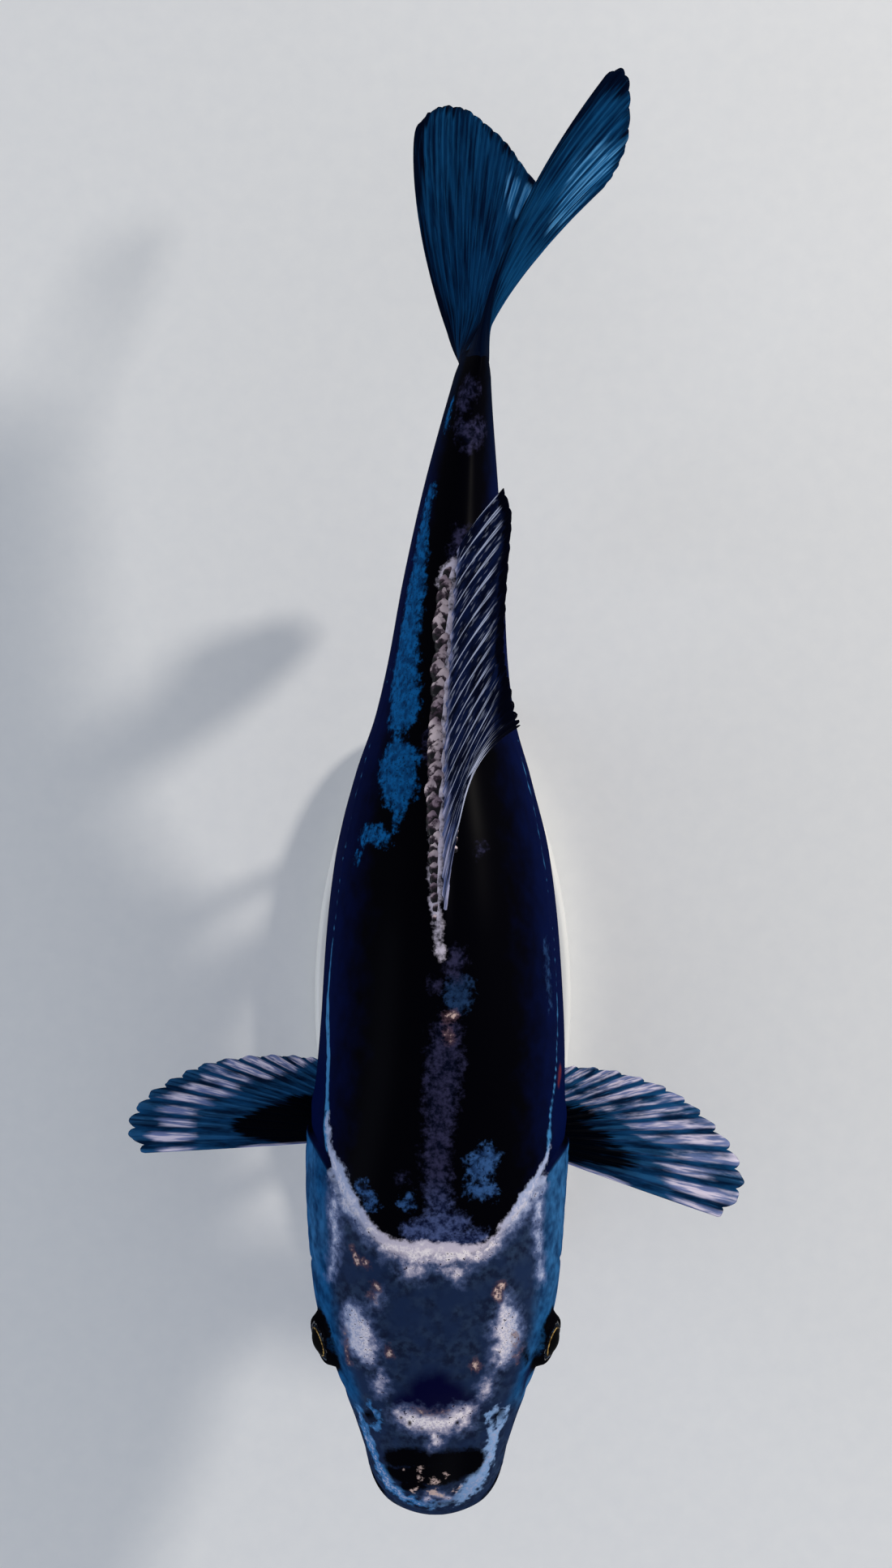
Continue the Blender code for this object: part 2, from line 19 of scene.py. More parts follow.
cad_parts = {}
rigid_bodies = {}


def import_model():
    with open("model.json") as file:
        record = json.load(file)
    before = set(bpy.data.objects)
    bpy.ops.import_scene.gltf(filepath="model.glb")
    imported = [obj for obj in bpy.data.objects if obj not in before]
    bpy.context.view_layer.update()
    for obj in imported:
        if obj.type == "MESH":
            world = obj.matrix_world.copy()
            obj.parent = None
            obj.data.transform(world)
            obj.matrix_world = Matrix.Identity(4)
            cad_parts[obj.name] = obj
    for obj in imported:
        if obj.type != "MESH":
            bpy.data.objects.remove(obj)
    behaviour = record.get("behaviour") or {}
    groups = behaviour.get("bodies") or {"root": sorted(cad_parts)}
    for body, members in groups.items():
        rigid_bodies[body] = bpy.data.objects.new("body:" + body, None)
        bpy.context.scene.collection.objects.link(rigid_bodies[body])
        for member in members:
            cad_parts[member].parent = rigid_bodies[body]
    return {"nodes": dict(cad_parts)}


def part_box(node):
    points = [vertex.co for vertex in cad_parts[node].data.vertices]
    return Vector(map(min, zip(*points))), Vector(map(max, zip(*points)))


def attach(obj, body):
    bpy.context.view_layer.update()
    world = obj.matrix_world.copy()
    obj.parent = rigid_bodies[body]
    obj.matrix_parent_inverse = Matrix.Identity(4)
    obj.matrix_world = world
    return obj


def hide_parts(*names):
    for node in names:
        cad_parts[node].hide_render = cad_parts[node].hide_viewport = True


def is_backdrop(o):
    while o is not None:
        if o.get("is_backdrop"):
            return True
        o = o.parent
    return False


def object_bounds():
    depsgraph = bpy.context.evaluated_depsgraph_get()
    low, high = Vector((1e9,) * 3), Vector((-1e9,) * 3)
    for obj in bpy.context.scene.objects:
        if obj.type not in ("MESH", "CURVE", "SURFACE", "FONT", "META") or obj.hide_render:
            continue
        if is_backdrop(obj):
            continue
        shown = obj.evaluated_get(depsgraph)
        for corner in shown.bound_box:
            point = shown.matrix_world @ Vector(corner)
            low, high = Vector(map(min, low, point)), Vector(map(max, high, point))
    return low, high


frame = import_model()
cad_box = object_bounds()
print("nodes in the frame:", len(frame["nodes"]))
print("the solids' box, mm:", [[round(c * 1000, 1) for c in corner] for corner in cad_box])

# %% [markdown]
# ## Camera, floor and light
# A museum would hang the camera straight above the fish. A long lens from one metre keeps the
# fins near the floor and the back near the lens at almost the same scale. Z up stays up for every other
# view, so the camera looks straight down with the tail at the top of its frame.

# %% Camera
SENSOR = 36.0
CAMERA_ABOVE_AXIS = 1.0
FRAME_LENGTH = 0.326
AXIS_HEIGHT = 0.060
VIEW_CENTRE = (0.0007, 0.0468)

camera = bpy.data.objects.new("camera_above", bpy.data.cameras.new("camera_above"))
camera.location = (*VIEW_CENTRE, AXIS_HEIGHT + CAMERA_ABOVE_AXIS)
camera.data.sensor_width = SENSOR
camera.data.lens = SENSOR * CAMERA_ABOVE_AXIS / FRAME_LENGTH
camera.data.clip_start = 0.01
bpy.context.scene.collection.objects.link(camera)
bpy.context.scene.camera = camera
print("lens, mm:", round(camera.data.lens, 1))

# %% [markdown]
# The stage is one large pale sheet, as under any specimen on a museum's table. It is a grid and not a
# lone quad only so that it can carry a soft bump. Two large soft lamps stand well off the vertical: a lamp
# near the lens would put a grey veil of gloss on the black back. The key lamp comes from the tail's left.

# %% Helpers for colours and nodes
# Each kind of node used here: Blender's name, its fixed settings, the inputs that take values, and its
# output. Any other kind is an operation of the Math node.
KINDS = {
    "position": ("ShaderNodeTexCoord", {}, (), "Object"),
    "direction": ("ShaderNodeTexCoord", {}, (), "Generated"),
    "height": ("ShaderNodeSeparateXYZ", {}, (0,), 2),
    "run": ("ShaderNodeCombineXYZ", {}, (0, 1, 2), 0),
    "moved": ("ShaderNodeMapping", {}, ("Vector", "Location", "Scale"), 0),
    "noise": ("ShaderNodeTexNoise", {}, ("Vector", "Scale", "Detail", "Roughness"), "Fac"),
    "painted": ("ShaderNodeAttribute", {}, (), "Fac"),
    "step": ("ShaderNodeMapRange", {"interpolation_type": "SMOOTHSTEP"}, (0, 1, 2, 3, 4), 0),
    "mix": ("ShaderNodeMix", {"data_type": "RGBA"}, (0, 6, 7), 2),
    "bump": ("ShaderNodeBump", {}, ("Strength", "Distance", "Height"), 0),
}


def linear(hex_colour):
    """An sRGB hex colour as the linear RGBA that a shader takes."""
    parts = [int(hex_colour[i : i + 2], 16) / 255 for i in (1, 3, 5)]
    return (*[c / 12.92 if c <= 0.04045 else ((c + 0.055) / 1.055) ** 2.4 for c in parts], 1.0)


def node(tree, kind, *values, **settings):
    """Adds one node with its settings, joins its inputs to sockets or sets their values, and gives its
    output."""
    name, fixed, inputs, output = KINDS.get(kind, ("ShaderNodeMath", {"operation": kind}, (0, 1, 2), 0))
    made = tree.nodes.new(name)
    for key, value in {**fixed, **settings}.items():
        setattr(made, key, value)
    for key, value in zip(inputs, values):
        if isinstance(value, bpy.types.NodeSocket):
            tree.links.new(value, made.inputs[key])
        else:
            made.inputs[key].default_value = linear(value) if isinstance(value, str) else value
    return made.outputs[output]


def start_material(name, **constants):
    """A new material with the constants on its shader's own sockets, and the function that adds its nodes."""
    made = bpy.data.materials.new(name)
    made.use_nodes = True
    for key, value in constants.items():
        made.node_tree.nodes["Principled BSDF"].inputs[key.replace("_", " ")].default_value = value
    return made, functools.partial(node, made.node_tree)


def finished(made, **sockets):
    """The material once what was made for its colour, roughness or normal is joined to its shader."""
    for key, socket in sockets.items():
        made.node_tree.links.new(
            socket, made.node_tree.nodes["Principled BSDF"].inputs[key.replace("_", " ")]
        )
    return made


def speckle(add, size_mm, detail=3.0, roughness=0.55, offset=(0, 0, 0), stretch=(1, 1, 1)):
    """Noise whose lumps are about size_mm across on the real piece."""
    moved = add("moved", add("position"), offset, stretch)
    return add("noise", moved, 1000 / size_mm, detail, roughness)


# %% Floor
FLOOR_SIZE = 3.0


def floor_finish():
    """Matt coated paper: almost white, with a tooth too fine to see, so it is drawn coarser, at 4 mm."""
    made, add = start_material("matt coated paper", Roughness=0.85)
    tooth = speckle(add, 4.0)
    shade = add("mix", tooth, "#e4e5e6", "#ececeb")
    return finished(made, Base_Color=shade, Normal=add("bump", 0.1, 0.0002, tooth))


bm = bmesh.new()
bmesh.ops.create_grid(bm, x_segments=8, y_segments=8, size=FLOOR_SIZE / 2)
floor_mesh = bpy.data.meshes.new("floor")
bm.to_mesh(floor_mesh)
bm.free()
floor = bpy.data.objects.new("floor", floor_mesh)
floor_mesh.materials.append(floor_finish())
bpy.context.scene.collection.objects.link(floor)
floor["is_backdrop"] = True
print("floor, m:", FLOOR_SIZE)

# %% Lamps and the room's own light
LAMPS = (
    ("key", (0.85, 0.45, 0.50), 0.14, 7.0, "#fff8ee"),
    ("fill", (-0.95, -0.20, 0.35), 0.60, 2.6, "#eaf2ff"),
    ("front", (0.15, -1.05, 0.30), 0.40, 1.6, "#f4f7ff"),
)


def add_lamp(name, place, size, watts, colour):
    lamp = bpy.data.objects.new(f"lamp_{name}", bpy.data.lights.new(f"lamp_{name}", "AREA"))
    lamp.data.shape = "DISK"
    lamp.data.size = size
    lamp.data.energy = watts
    lamp.data.color = linear(colour)[:3]
    lamp.location = place
    towards = Vector((0, VIEW_CENTRE[1], AXIS_HEIGHT)) - lamp.location
    lamp.rotation_euler = towards.to_track_quat("-Z", "Y").to_euler()
    bpy.context.scene.collection.objects.link(lamp)


for lamp_settings in LAMPS:
    add_lamp(*lamp_settings)

ROOM_WALL, ROOM_CEILING = "#e3e6ea", "#c3c9d3"
ROOM_STRENGTH = 0.72


def add_room():
    """A pale room, a little darker overhead: its even light keeps the black back free of glare."""
    room = bpy.data.worlds.new("room")
    room.use_nodes = True
    add = functools.partial(node, room.node_tree)
    background = room.node_tree.nodes["Background"]
    shade = add("mix", add("step", add("height", add("direction")), 0.05, 0.65), ROOM_WALL, ROOM_CEILING)
    room.node_tree.links.new(shade, background.inputs["Color"])
    background.inputs["Strength"].default_value = ROOM_STRENGTH
    bpy.context.scene.world = room


add_room()
bpy.context.scene.view_settings.view_transform = "Standard"
print("lamps:", len(LAMPS))

# %% [markdown]
# ## The fish's own measures
# The skin has to lie where the solids lie, so these are the solids' driving measures again: sections along
# the body, the bend of its axis and how square each section is. Lengths are shares of the body's length
# from the snout to the tail's root. A curve that never overshoots its points joins the sections.

# %% Measures of the body
BODY_LENGTH = 0.240
SNOUT_Y = -0.105
MM = 0.001

TAIL_SWING = 0.0274
SWING_START = 0.60
SWING_POWER = 1.6
HEAD_DRIFT = -0.006
DRIFT_RANGE = (0.26, 0.44)

# Place along the body, half width, height of the back, depth of the belly, and the level of greatest width
BODY_SECTIONS = (
    (0.000, 0.0000, -0.0220, -0.0220, -0.022),
    (0.004, 0.0225, -0.0020, -0.0420, -0.022),
    (0.013, 0.0395, 0.0090, -0.0520, -0.021),
    (0.028, 0.0510, 0.0210, -0.0615, -0.020),
    (0.050, 0.0590, 0.0350, -0.0710, -0.018),
    (0.085, 0.0705, 0.0540, -0.0820, -0.014),
    (0.120, 0.0840, 0.0715, -0.0915, -0.010),
    (0.160, 0.0975, 0.0880, -0.1000, -0.010),
    (0.200, 0.1062, 0.1020, -0.1080, -0.014),
    (0.250, 0.1110, 0.1160, -0.1150, -0.018),
    (0.300, 0.1130, 0.1280, -0.1200, -0.020),
    (0.360, 0.1090, 0.1390, -0.1260, -0.020),
    (0.430, 0.1055, 0.1470, -0.1300, -0.020),
    (0.500, 0.1012, 0.1490, -0.1300, -0.020),
    (0.570, 0.0930, 0.1420, -0.1250, -0.018),
    (0.640, 0.0760, 0.1280, -0.1140, -0.012),
    (0.690, 0.0605, 0.1150, -0.0990, -0.004),
    (0.740, 0.0515, 0.1020, -0.0850, 0.002),
    (0.800, 0.0445, 0.0880, -0.0730, 0.004),
    (0.880, 0.0335, 0.0730, -0.0610, 0.005),
    (0.940, 0.0235, 0.0660, -0.0565, 0.005),
    (1.000, 0.0125, 0.0660, -0.0575, 0.005),
)
# How square the sections are above and below the widest level: 2 is an ellipse
BACK_SQUARENESS = ((0.0, 2.0), (0.08, 2.3), (0.2, 2.45), (0.4, 2.15), (0.7, 2.0), (1.0, 1.9))
BELLY_SQUARENESS = ((0.0, 2.0), (0.1, 2.2), (0.4, 2.4), (0.6, 2.3), (0.8, 2.0), (1.0, 1.9))


def through(points):
    """A smooth curve through (place, value) pairs that doesn't overshoot them. It takes arrays."""
    place, value = np.array(points, float).T
    step = np.diff(place)
    slope = np.diff(value) / step
    same_way = slope[:-1] * slope[1:] > 0
    total = np.where(same_way, slope[:-1] + slope[1:], 1.0)
    inner = np.where(same_way, 2 * slope[:-1] * slope[1:] / total, 0.0)
    tangent = np.concatenate([slope[:1], inner, slope[-1:]])

    def at(x):
        x = np.clip(x, place[0], place[-1])
        i = np.clip(np.searchsorted(place, x) - 1, 0, len(step) - 1)
        t = (x - place[i]) / step[i]
        lead, trail = tangent[i] * step[i], tangent[i + 1] * step[i]
        ends = value[i] * (1 + 2 * t) * (1 - t) ** 2 + value[i + 1] * t * t * (3 - 2 * t)
        return ends + lead * t * (1 - t) ** 2 + trail * t * t * (t - 1)

    return at


def column(table, number, spread=1.0):
    """One column of a table as a curve over the first; spread below 1 rounds the start of the curve."""
    return through([(row[0] ** spread, row[number]) for row in table])


half_width_at, back_at, belly_at, level_at = (column(BODY_SECTIONS, n, 0.5) for n in (1, 2, 3, 4))
back_squareness_at = column(BACK_SQUARENESS, 1)
belly_squareness_at = column(BELLY_SQUARENESS, 1)


def ease(x):
    x = np.clip(x, 0.0, 1.0)
    return x * x * (3 - 2 * x)


def hill(x):
    """1 at 0, falling smoothly to 0 over about two units each way."""
    return np.exp(-np.asarray(x, float) ** 2)


def stacked(*parts):
    return np.stack(np.broadcast_arrays(*parts), axis=-1)


def axis_side(place):
    """How far the body's axis lies to the fish's left, as a share of its length."""
    swing = np.maximum(0.0, (place - SWING_START) / (1 - SWING_START)) ** SWING_POWER
    return TAIL_SWING * swing + HEAD_DRIFT * (
        1 - ease((place - DRIFT_RANGE[0]) / (DRIFT_RANGE[1] - DRIFT_RANGE[0]))
    )


def axis_point(place):
    return stacked(axis_side(place) * BODY_LENGTH, SNOUT_Y + place * BODY_LENGTH, AXIS_HEIGHT)


def unit(vectors):
    return vectors / np.maximum(np.linalg.norm(vectors, axis=-1, keepdims=True), 1e-12)


def sideways(place):
    """The direction to the fish's left, square to its axis."""
    step = 0.01
    along = axis_point(place + step) - axis_point(place - step)
    return unit(stacked(along[..., 1], -along[..., 0], 0.0))


def on_body(place, angle, out=0.0):
    """Points of the body's surface, or out metres off it. Angle 0 is the left side and 90 degrees the
    back."""
    place, angle = np.asarray(place, float), np.asarray(angle, float)
    root = np.sqrt(np.maximum(place, 0.0))
    above = np.sin(angle) >= 0
    level = level_at(root)
    height = np.where(above, back_at(root) - level, level - belly_at(root)) * BODY_LENGTH + out
    power = 2 / np.where(above, back_squareness_at(place), belly_squareness_at(place))
    half = half_width_at(root) * BODY_LENGTH + out
    side = half * np.sign(np.cos(angle)) * np.abs(np.cos(angle)) ** power
    up = height * np.sign(np.sin(angle)) * np.abs(np.sin(angle)) ** power + level * BODY_LENGTH
    return axis_point(place) + sideways(place) * side[..., None] + stacked(0.0, 0.0, up)


def body_normal(place, angle):
    along = on_body(place + 0.004, angle) - on_body(place - 0.004, angle)
    around = on_body(place, angle + 0.03) - on_body(place, angle - 0.03)
    return unit(np.cross(along, around))


def where_on_body(points):
    """For points near the surface: the place along the body, how far they lie to the left of its axis as a
    share of its length, and their rise in degrees, from -90 at the belly to 90 at the back."""
    place = (points[:, 1] - SNOUT_Y) / BODY_LENGTH
    for _ in range(2):
        off = points - axis_point(place)
        place = place + np.einsum("ij,ij->i", off, np.cross([0, 0, 1.0], sideways(place))) / BODY_LENGTH
    place = np.clip(place, 0.0, 1.0)
    off = points - axis_point(place)
    across = np.einsum("ij,ij->i", off, sideways(place)) / BODY_LENGTH
    root = np.sqrt(place)
    up = off[:, 2] / BODY_LENGTH - level_at(root)
    height = np.where(up >= 0, back_at(root) - level_at(root), level_at(root) - belly_at(root))
    power = np.where(up >= 0, back_squareness_at(place), belly_squareness_at(place)) / 2
    high = np.sign(up) * (np.abs(up) / np.maximum(height, 1e-6)) ** power
    wide = (np.abs(across) / np.maximum(half_width_at(root), 1e-6)) ** power
    return place, across, np.degrees(np.arctan2(high, wide))


check = on_body(np.array([0.1, 0.5, 0.9]), np.radians([30, 100, -60]))
print("places found again:", [np.round(found, 3).tolist() for found in where_on_body(check)])

# %% Two lines of the head: the gill cover's free edge and the mouth
GILL_BACK = 0.250
GILL_REACH = 0.079
GILL_MIDDLE = -4.0
GILL_HALF_ANGLE = 52.0
GILL_TOP_CURVE = 0.45
GILL_LOW_CURVE = 1.1
NAPE_PLACE = 0.245
ISTHMUS_PLACE = 0.222


def gill_edge(rise):
    """Where the gill cover ends, for each rise; above and below it the line runs on to the nape and the
    throat."""
    swing = np.clip((rise - GILL_MIDDLE) / GILL_HALF_ANGLE, -1, 1)
    curve = np.where(swing > 0, GILL_TOP_CURVE, GILL_LOW_CURVE)
    edge = GILL_BACK + GILL_REACH * (1 - (0.96 * swing) ** 2) ** curve
    top, low = GILL_MIDDLE + GILL_HALF_ANGLE, GILL_MIDDLE - GILL_HALF_ANGLE
    edge += (NAPE_PLACE - edge) * ease((rise - top) / (90 - top))
    return edge + (ISTHMUS_PLACE - edge) * ease((low - rise) / (90 + low))


MOUTH_START = -0.0300
MOUTH_SLOPE = -0.240
MOUTH_CORNER = 0.060


def above_mouth(place, points):
    """How far points lie above the mouth's line, in millimetres. The line drops from the snout to its
    corner."""
    line = MOUTH_START + MOUTH_SLOPE * place
    return ((points[:, 2] - AXIS_HEIGHT) / BODY_LENGTH - line) * BODY_LENGTH / MM


print("mouth, mm long:", round(MOUTH_CORNER * BODY_LENGTH / MM, 1))

# %% [markdown]
# ## Where the colours lie
# A koi's pattern is pigment in patches with ragged edges. An artist would mask and airbrush it. Here each
# pigment is a few rounded strokes laid on the body: a point of a stroke is a place along the body, how
# far it lies to the left of the midline, and the stroke's half width there, in thousandths of the body's
# length. Every vertex keeps how deep it lies inside each pigment in millimetres, and the finish turns
# that depth, with fine noise, into a crisp or soft edge at any distance from the lens.

# %% Strokes of pigment on the back, seen from above
STROKES = {
    "navy": (
        ((122, 2, 12), (112, -4, 22), (104, 6, 24), (98, 0, 20)),
        ((104, -26, 12), (102, 28, 13)),
        ((128, 80, 8), (112, 76, 6)),
    ),
    "black": (
        ((52, -37, 9), (54, -20, 11), (53, 0, 9), (54, 20, 10), (52, 35, 9)),
        ((38, -35, 9), (36, -18, 12), (39, 0, 12), (41, 18, 11), (44, 33, 8)),
        ((26, -26, 6), (27, -12, 6)),
        ((9, 4, 2.2), (10, 14, 2.2)),
        ((90.5, -56.5, 4),), ((90, 53.5, 4),),
        ((172, -97, 6), (155, -92, 6), (140, -90, 5), (126, -90, 4)),
        ((168, 96, 6), (150, 93, 6), (134, 88, 5)),
        ((152, 74, 4), (138, 77, 3)),
    ),
    "rim": (
        ((93, -66, 4), (73, -60, 6.5), (50, -52, 8.5), (36, -45.5, 8.5), (24, -37, 8), (15, -26, 6.5),
         (10, -12, 5), (9, 6, 5), (14, 20, 6.5), (24, 30, 10), (36, 39, 9.5), (50, 45, 8), (66, 49, 6.2),
         (80, 54, 5), (94, 60, 4)),
        ((98, -56, 2.6), (94, -50, 2.6), (86, -50, 2.6), (78, -52, 3)),
        ((98, 53, 2.6), (93, 47, 2.6), (85, 47, 2.6), (77, 49, 3)),
    ),
    "pale": (
        ((93, -31, 7), (88, -20, 11), (85, -4, 12), (88, 12, 11), (93, 25, 10)),
        ((83, 25, 6),),
        ((74, -1, 5), (67, -1, 3)),
        ((142, -58, 8), (150, -61, 13), (160, -64.5, 16), (171, -67, 15), (184, -70, 9)),
        ((113, -46.5, 3), (121, -47, 4), (129, -49, 3)),
        ((140, 56, 8), (150, 60, 12), (162, 62, 15), (174, 61, 14), (186, 59, 8), (200, 62, 3)),
        ((109, 43, 3), (117, 44, 4), (124, 47, 3)),
        ((199, -49, 3), (191, -53, 3)),
        ((345, -95, 3), (322, -91.5, 5), (306, -87, 8), (297, -83, 11), (284, -77, 12), (272, -69.5, 9),
         (260, -60, 8), (249, -50, 7), (241, -37, 9), (236, -20, 11), (236, 0, 12), (235, 18, 11),
         (236, 34, 8), (243, 47, 6), (257, 59, 6), (270, 70, 8), (285, 80, 11), (300, 87.5, 8),
         (314, 91.5, 5), (330, 94.5, 3)),
        ((222, -14, 6), (222, -24, 6)),
        ((221, 20, 6), (223, 10, 4)),
        ((274, -85, 7), (255, -85, 6), (235, -85.5, 5), (214, -90, 4)),
        ((274, 86, 7), (252, 87, 5), (232, 88.5, 4), (212, 90.5, 4)),
        ((803, -11, 4), (812, -5, 8), (821, 3, 6)),
        ((14, -7, 3), (17, 2, 3), (15, 12, 2)),
        ((488, -1, 3), (505, -2, 4), (525, -4, 5), (560, -5, 7), (600, -3, 7), (650, -2, 7), (700, 0, 7),
         (750, 1, 7), (800, 3, 7)),
    ),
    "peach": (
        ((149, -39, 3), (153, -42, 1.8)),
        ((140, 34, 3.2), (134, 36, 2)),
        ((206, 54, 4.2), (200, 52, 3.4), (196, 56, 2)),
        ((237, -69, 2), (230, -66, 2.2)),
        ((229, -60, 1.6), (225, -56, 1.6)),
        ((209, -52, 2.2), (203, -49, 1.6)),
        ((201, -55, 1.8), (196, -53, 1.2)),
        ((97.5, -20, 1.4), (96.5, -6, 1.8), (97, 10, 1.2)),
        ((42, -27, 2.2),),
        ((44, -10, 2.6), (41, -13, 2)),
        ((36, -15, 2.8), (33, -11, 1.8)),
        ((32, 1, 3), (29, -6, 2.2)),
        ((23, 1, 3.4), (19, -5, 3), (17, 6, 3)),
        ((27, 21, 2.4), (21, 16, 2.6)),
        ((38, 9, 2),),
        ((26, -14, 2.4), (22, -20, 1.8)),
        ((438, 7, 4), (434, 3, 2)),
        ((420, 6, 3.5), (425, 2, 2)),
        ((154, 66, 1.6), (144, 67, 1.2)),
        ((148, 71, 1.3), (137, 71, 1)),
        ((164, 68, 1.4), (157, 70, 1)),
        ((138, -73, 1), (152, -75, 1.5), (166, -76.5, 1)),
    ),
    "lilac": (
        ((238, -22, 10), (241, 0, 13), (244, 20, 11), (250, 36, 6)),
        ((255, -22, 6), (258, 2, 14), (262, 20, 8)),
        ((275, 4, 8), (290, 1, 9), (310, -1, 10), (340, -1, 10), (370, 1, 12), (400, 3, 13),
         (425, 3, 10)),
        ((300, -27, 2.5),),
        ((488, 12, 5), (478, 10, 4), (470, 12, 3)),
        ((466, -6, 3),), ((578, 32, 3),),
        ((670, -10, 6), (655, -8, 4)),
        ((826, 3, 8), (836, 4, 6), (846, 5, 4)),
        ((938, 13, 6), (931, 6, 9), (935, -5, 6), (922, 4, 3)),
        ((954, -6, 4), (964, -9, 5), (968, 2, 3), (976, -7, 4)),
    ),
    "blue": (
        ((279, -23, 6),),
        ((290, 33, 4), (294, 47, 6.5)),
        ((311, 36, 11), (320, 41, 12)),
        ((293, 30, 5), (291, 46, 7)),
        ((448, 12, 9), (457, 14, 11), (466, 14, 8)),
        ((590, -67, 6), (590, -57, 8), (587, -47, 5)),
        ((599, -38, 4),), ((570, -72, 5),),
        ((276, -53, 5), (290, -62, 6)),
        ((616, -38, 9), (628, -37, 18), (648, -41, 24)),
        ((694, -37, 21), (712, -38, 23), (730, -38, 21), (750, -37, 19), (780, -34, 16), (800, -32, 15),
         (820, -31, 12), (845, -30, 10), (880, -26, 7)),
        ((495, 88, 6), (470, 90, 6), (445, 92, 5)),
        ((940, -18, 5), (960, -16, 4)),
    ),
    # The lateral line: these strokes lie on the real line, and their pale colour paints the glint of its row
    # of scales.
    "line": (
        ((320, -93.5, 4.5), (345, -95.5, 4.5), (380, -96.5, 4.5), (405, -97, 5), (430, -98.5, 6),
         (452, -98.5, 5), (470, -97, 2.8), (500, -94, 2), (560, -86.5, 1.8), (620, -75, 1.6),
         (670, -62, 1.4), (740, -47, 1.2)),
        ((320, 92.5, 4), (340, 94, 3.4), (380, 97, 2.4), (420, 98.5, 2.2), (450, 98.5, 1.8),
         (500, 95.5, 1.2), (560, 88, 1.4), (590, 82.5, 1.8), (620, 77, 1.8), (660, 66, 1.4),
         (740, 48, 1.2)),
    ),
    "dot": (
        ((85, -22, 2.4),), ((86, 19, 2.2),), ((78, 24, 1.8),), ((90, -31, 1.6),), ((81, -13, 1.3),),
        ((232, -34, 1.4),), ((245, -43, 1.2),),
    ),
    "red": (
        ((390, 102, 6), (381, 101.5, 4)),
    ),
}
THOUSANDTHS = (0.001, 0.001, 0.001)
# Strokes on the sides, the same on both. The middle number is the rise in degrees from the widest level.
SIDE_STROKES = {
    "black": (
        ((60, -8, 3), (40, -5, 5), (24, -7, 6), (10, -12, 6), (2, -40, 4)),
        ((146, 14, 22.5), (160, 14, 22.5)),
    ),
}
WITH_DEGREES = (0.001, 1.0, 0.001)
EDGE_WANDER = 0.0007
WANDER_SIZE = 0.0032
# Blender's noise vectors take their seed from the clock unless it is set, and the markings keep one seed.
WANDER_SEED = 5
noise.seed_set(WANDER_SEED)
DEEPEST = 4.0


def angle_above(place, across):
    """The angle round the body of a point of the back that lies that far to the left of the midline."""
    share = np.clip(np.abs(across) / half_width_at(np.sqrt(place)), 0.0, 1.0)
    angle = np.arccos(share ** (back_squareness_at(place) / 2))
    return np.where(across >= 0, angle, math.pi - angle)


def stroke_dots(stroke, units, angle_of):
    """Points along one stroke, close enough together to read as a line, with their radii in metres."""
    stroke = np.array(stroke) * units
    number = np.arange(len(stroke))
    fine = np.linspace(0, len(stroke) - 1, 1 + 6 * (len(stroke) - 1)) if len(stroke) > 1 else np.zeros(1)
    place, other, radius = (np.interp(fine, number, column) for column in stroke.T)
    return on_body(place, angle_of(place, other)), radius * BODY_LENGTH


def pigment_dots():
    """Every pigment's dots: name to (points, radii)."""
    found = {
        name: [stroke_dots(stroke, THOUSANDTHS, angle_above) for stroke in strokes]
        for name, strokes in STROKES.items()
    }
    for name, strokes in SIDE_STROKES.items():
        for stroke in strokes:
            found[name].append(stroke_dots(stroke, WITH_DEGREES, lambda place, rise: np.radians(rise)))
            found[name].append(
                stroke_dots(stroke, WITH_DEGREES, lambda place, rise: math.pi - np.radians(rise))
            )
    return {name: tuple(np.concatenate(part) for part in zip(*dots)) for name, dots in found.items()}


PIGMENT_DOTS = pigment_dots()
NAPE_LINE = through(
    (
        (0.000, 0.237), (0.020, 0.236), (0.036, 0.239), (0.049, 0.247), (0.061, 0.260), (0.074, 0.275),
        (0.084, 0.292), (0.120, 0.303)
    )
)


def store(mesh, values):
    """Keeps one number for each vertex under each name, for the finish to read."""
    for name, value in values.items():
        layer = mesh.attributes.new(name, "FLOAT", "POINT")
        layer.data.foreach_set("value", np.asarray(value, np.float32))


def paint(mesh, points):
    """Stores on the mesh where each vertex lies on the body, and how deep in each pigment, in millimetres."""
    wander = np.array([noise.noise_vector(Vector(p) / WANDER_SIZE) for p in points]) * EDGE_WANDER
    asked = points + wander
    place, across, rise = where_on_body(points)
    near_mouth = ease((0.075 - place) / 0.035)
    rise = rise + (np.clip(9.0 * above_mouth(place, points), -80, 80) - rise) * near_mouth
    values = {"place": place, "across": across, "rise": rise / 90,
              "gill": (place - gill_edge(rise)) * BODY_LENGTH / MM,
              "head": (NAPE_LINE(np.abs(across)) - place) * BODY_LENGTH / MM}
    for name, (dots, radii) in PIGMENT_DOTS.items():
        depth = np.full(len(points), -DEEPEST)
        for dot, radius in zip(dots, radii):
            near = np.nonzero(np.abs(asked - dot).max(axis=1) < radius + DEEPEST * MM)[0]
            inside = (radius - np.linalg.norm(asked[near] - dot, axis=1)) / MM
            depth[near] = np.maximum(depth[near], inside)
        values[name] = depth
    store(mesh, values)


print("pigments:", {name: len(radii) for name, (dots, radii) in PIGMENT_DOTS.items()})

# %% [markdown]
# ## Skin
# The flesh of the solids is parted at the jaw, the gill covers, the neck and the stalk. On the real fish
# one skin runs over all of it. The way here is a grid rolled into a tube and laid on the body: its rings
# are close together over the head, and a ring bends so that it follows the free edge of the gill cover,
# which gives that edge a clean step. The folds are sums of small hills and grooves along the surface's
# own normal.

# %% Rings of the skin
SKIN_SIDES = 298
SKIN_RINGS = 328
GILL_RING = 170
GILL_RING_PLACE = 0.300
TAIL_SKIN_END = 1.004
RING_PLACES = through(
    (
        (0.0, 0.0), (0.012, 0.0009), (0.05, 0.012), (0.15, 0.065),
        (GILL_RING / SKIN_RINGS, GILL_RING_PLACE), (0.60, 0.380), (1.0, TAIL_SKIN_END)
    )
)
EDGE_PULL = 0.13

def rise_of(angle):
    return np.degrees(np.arctan2(np.sin(angle), np.abs(np.cos(angle))))


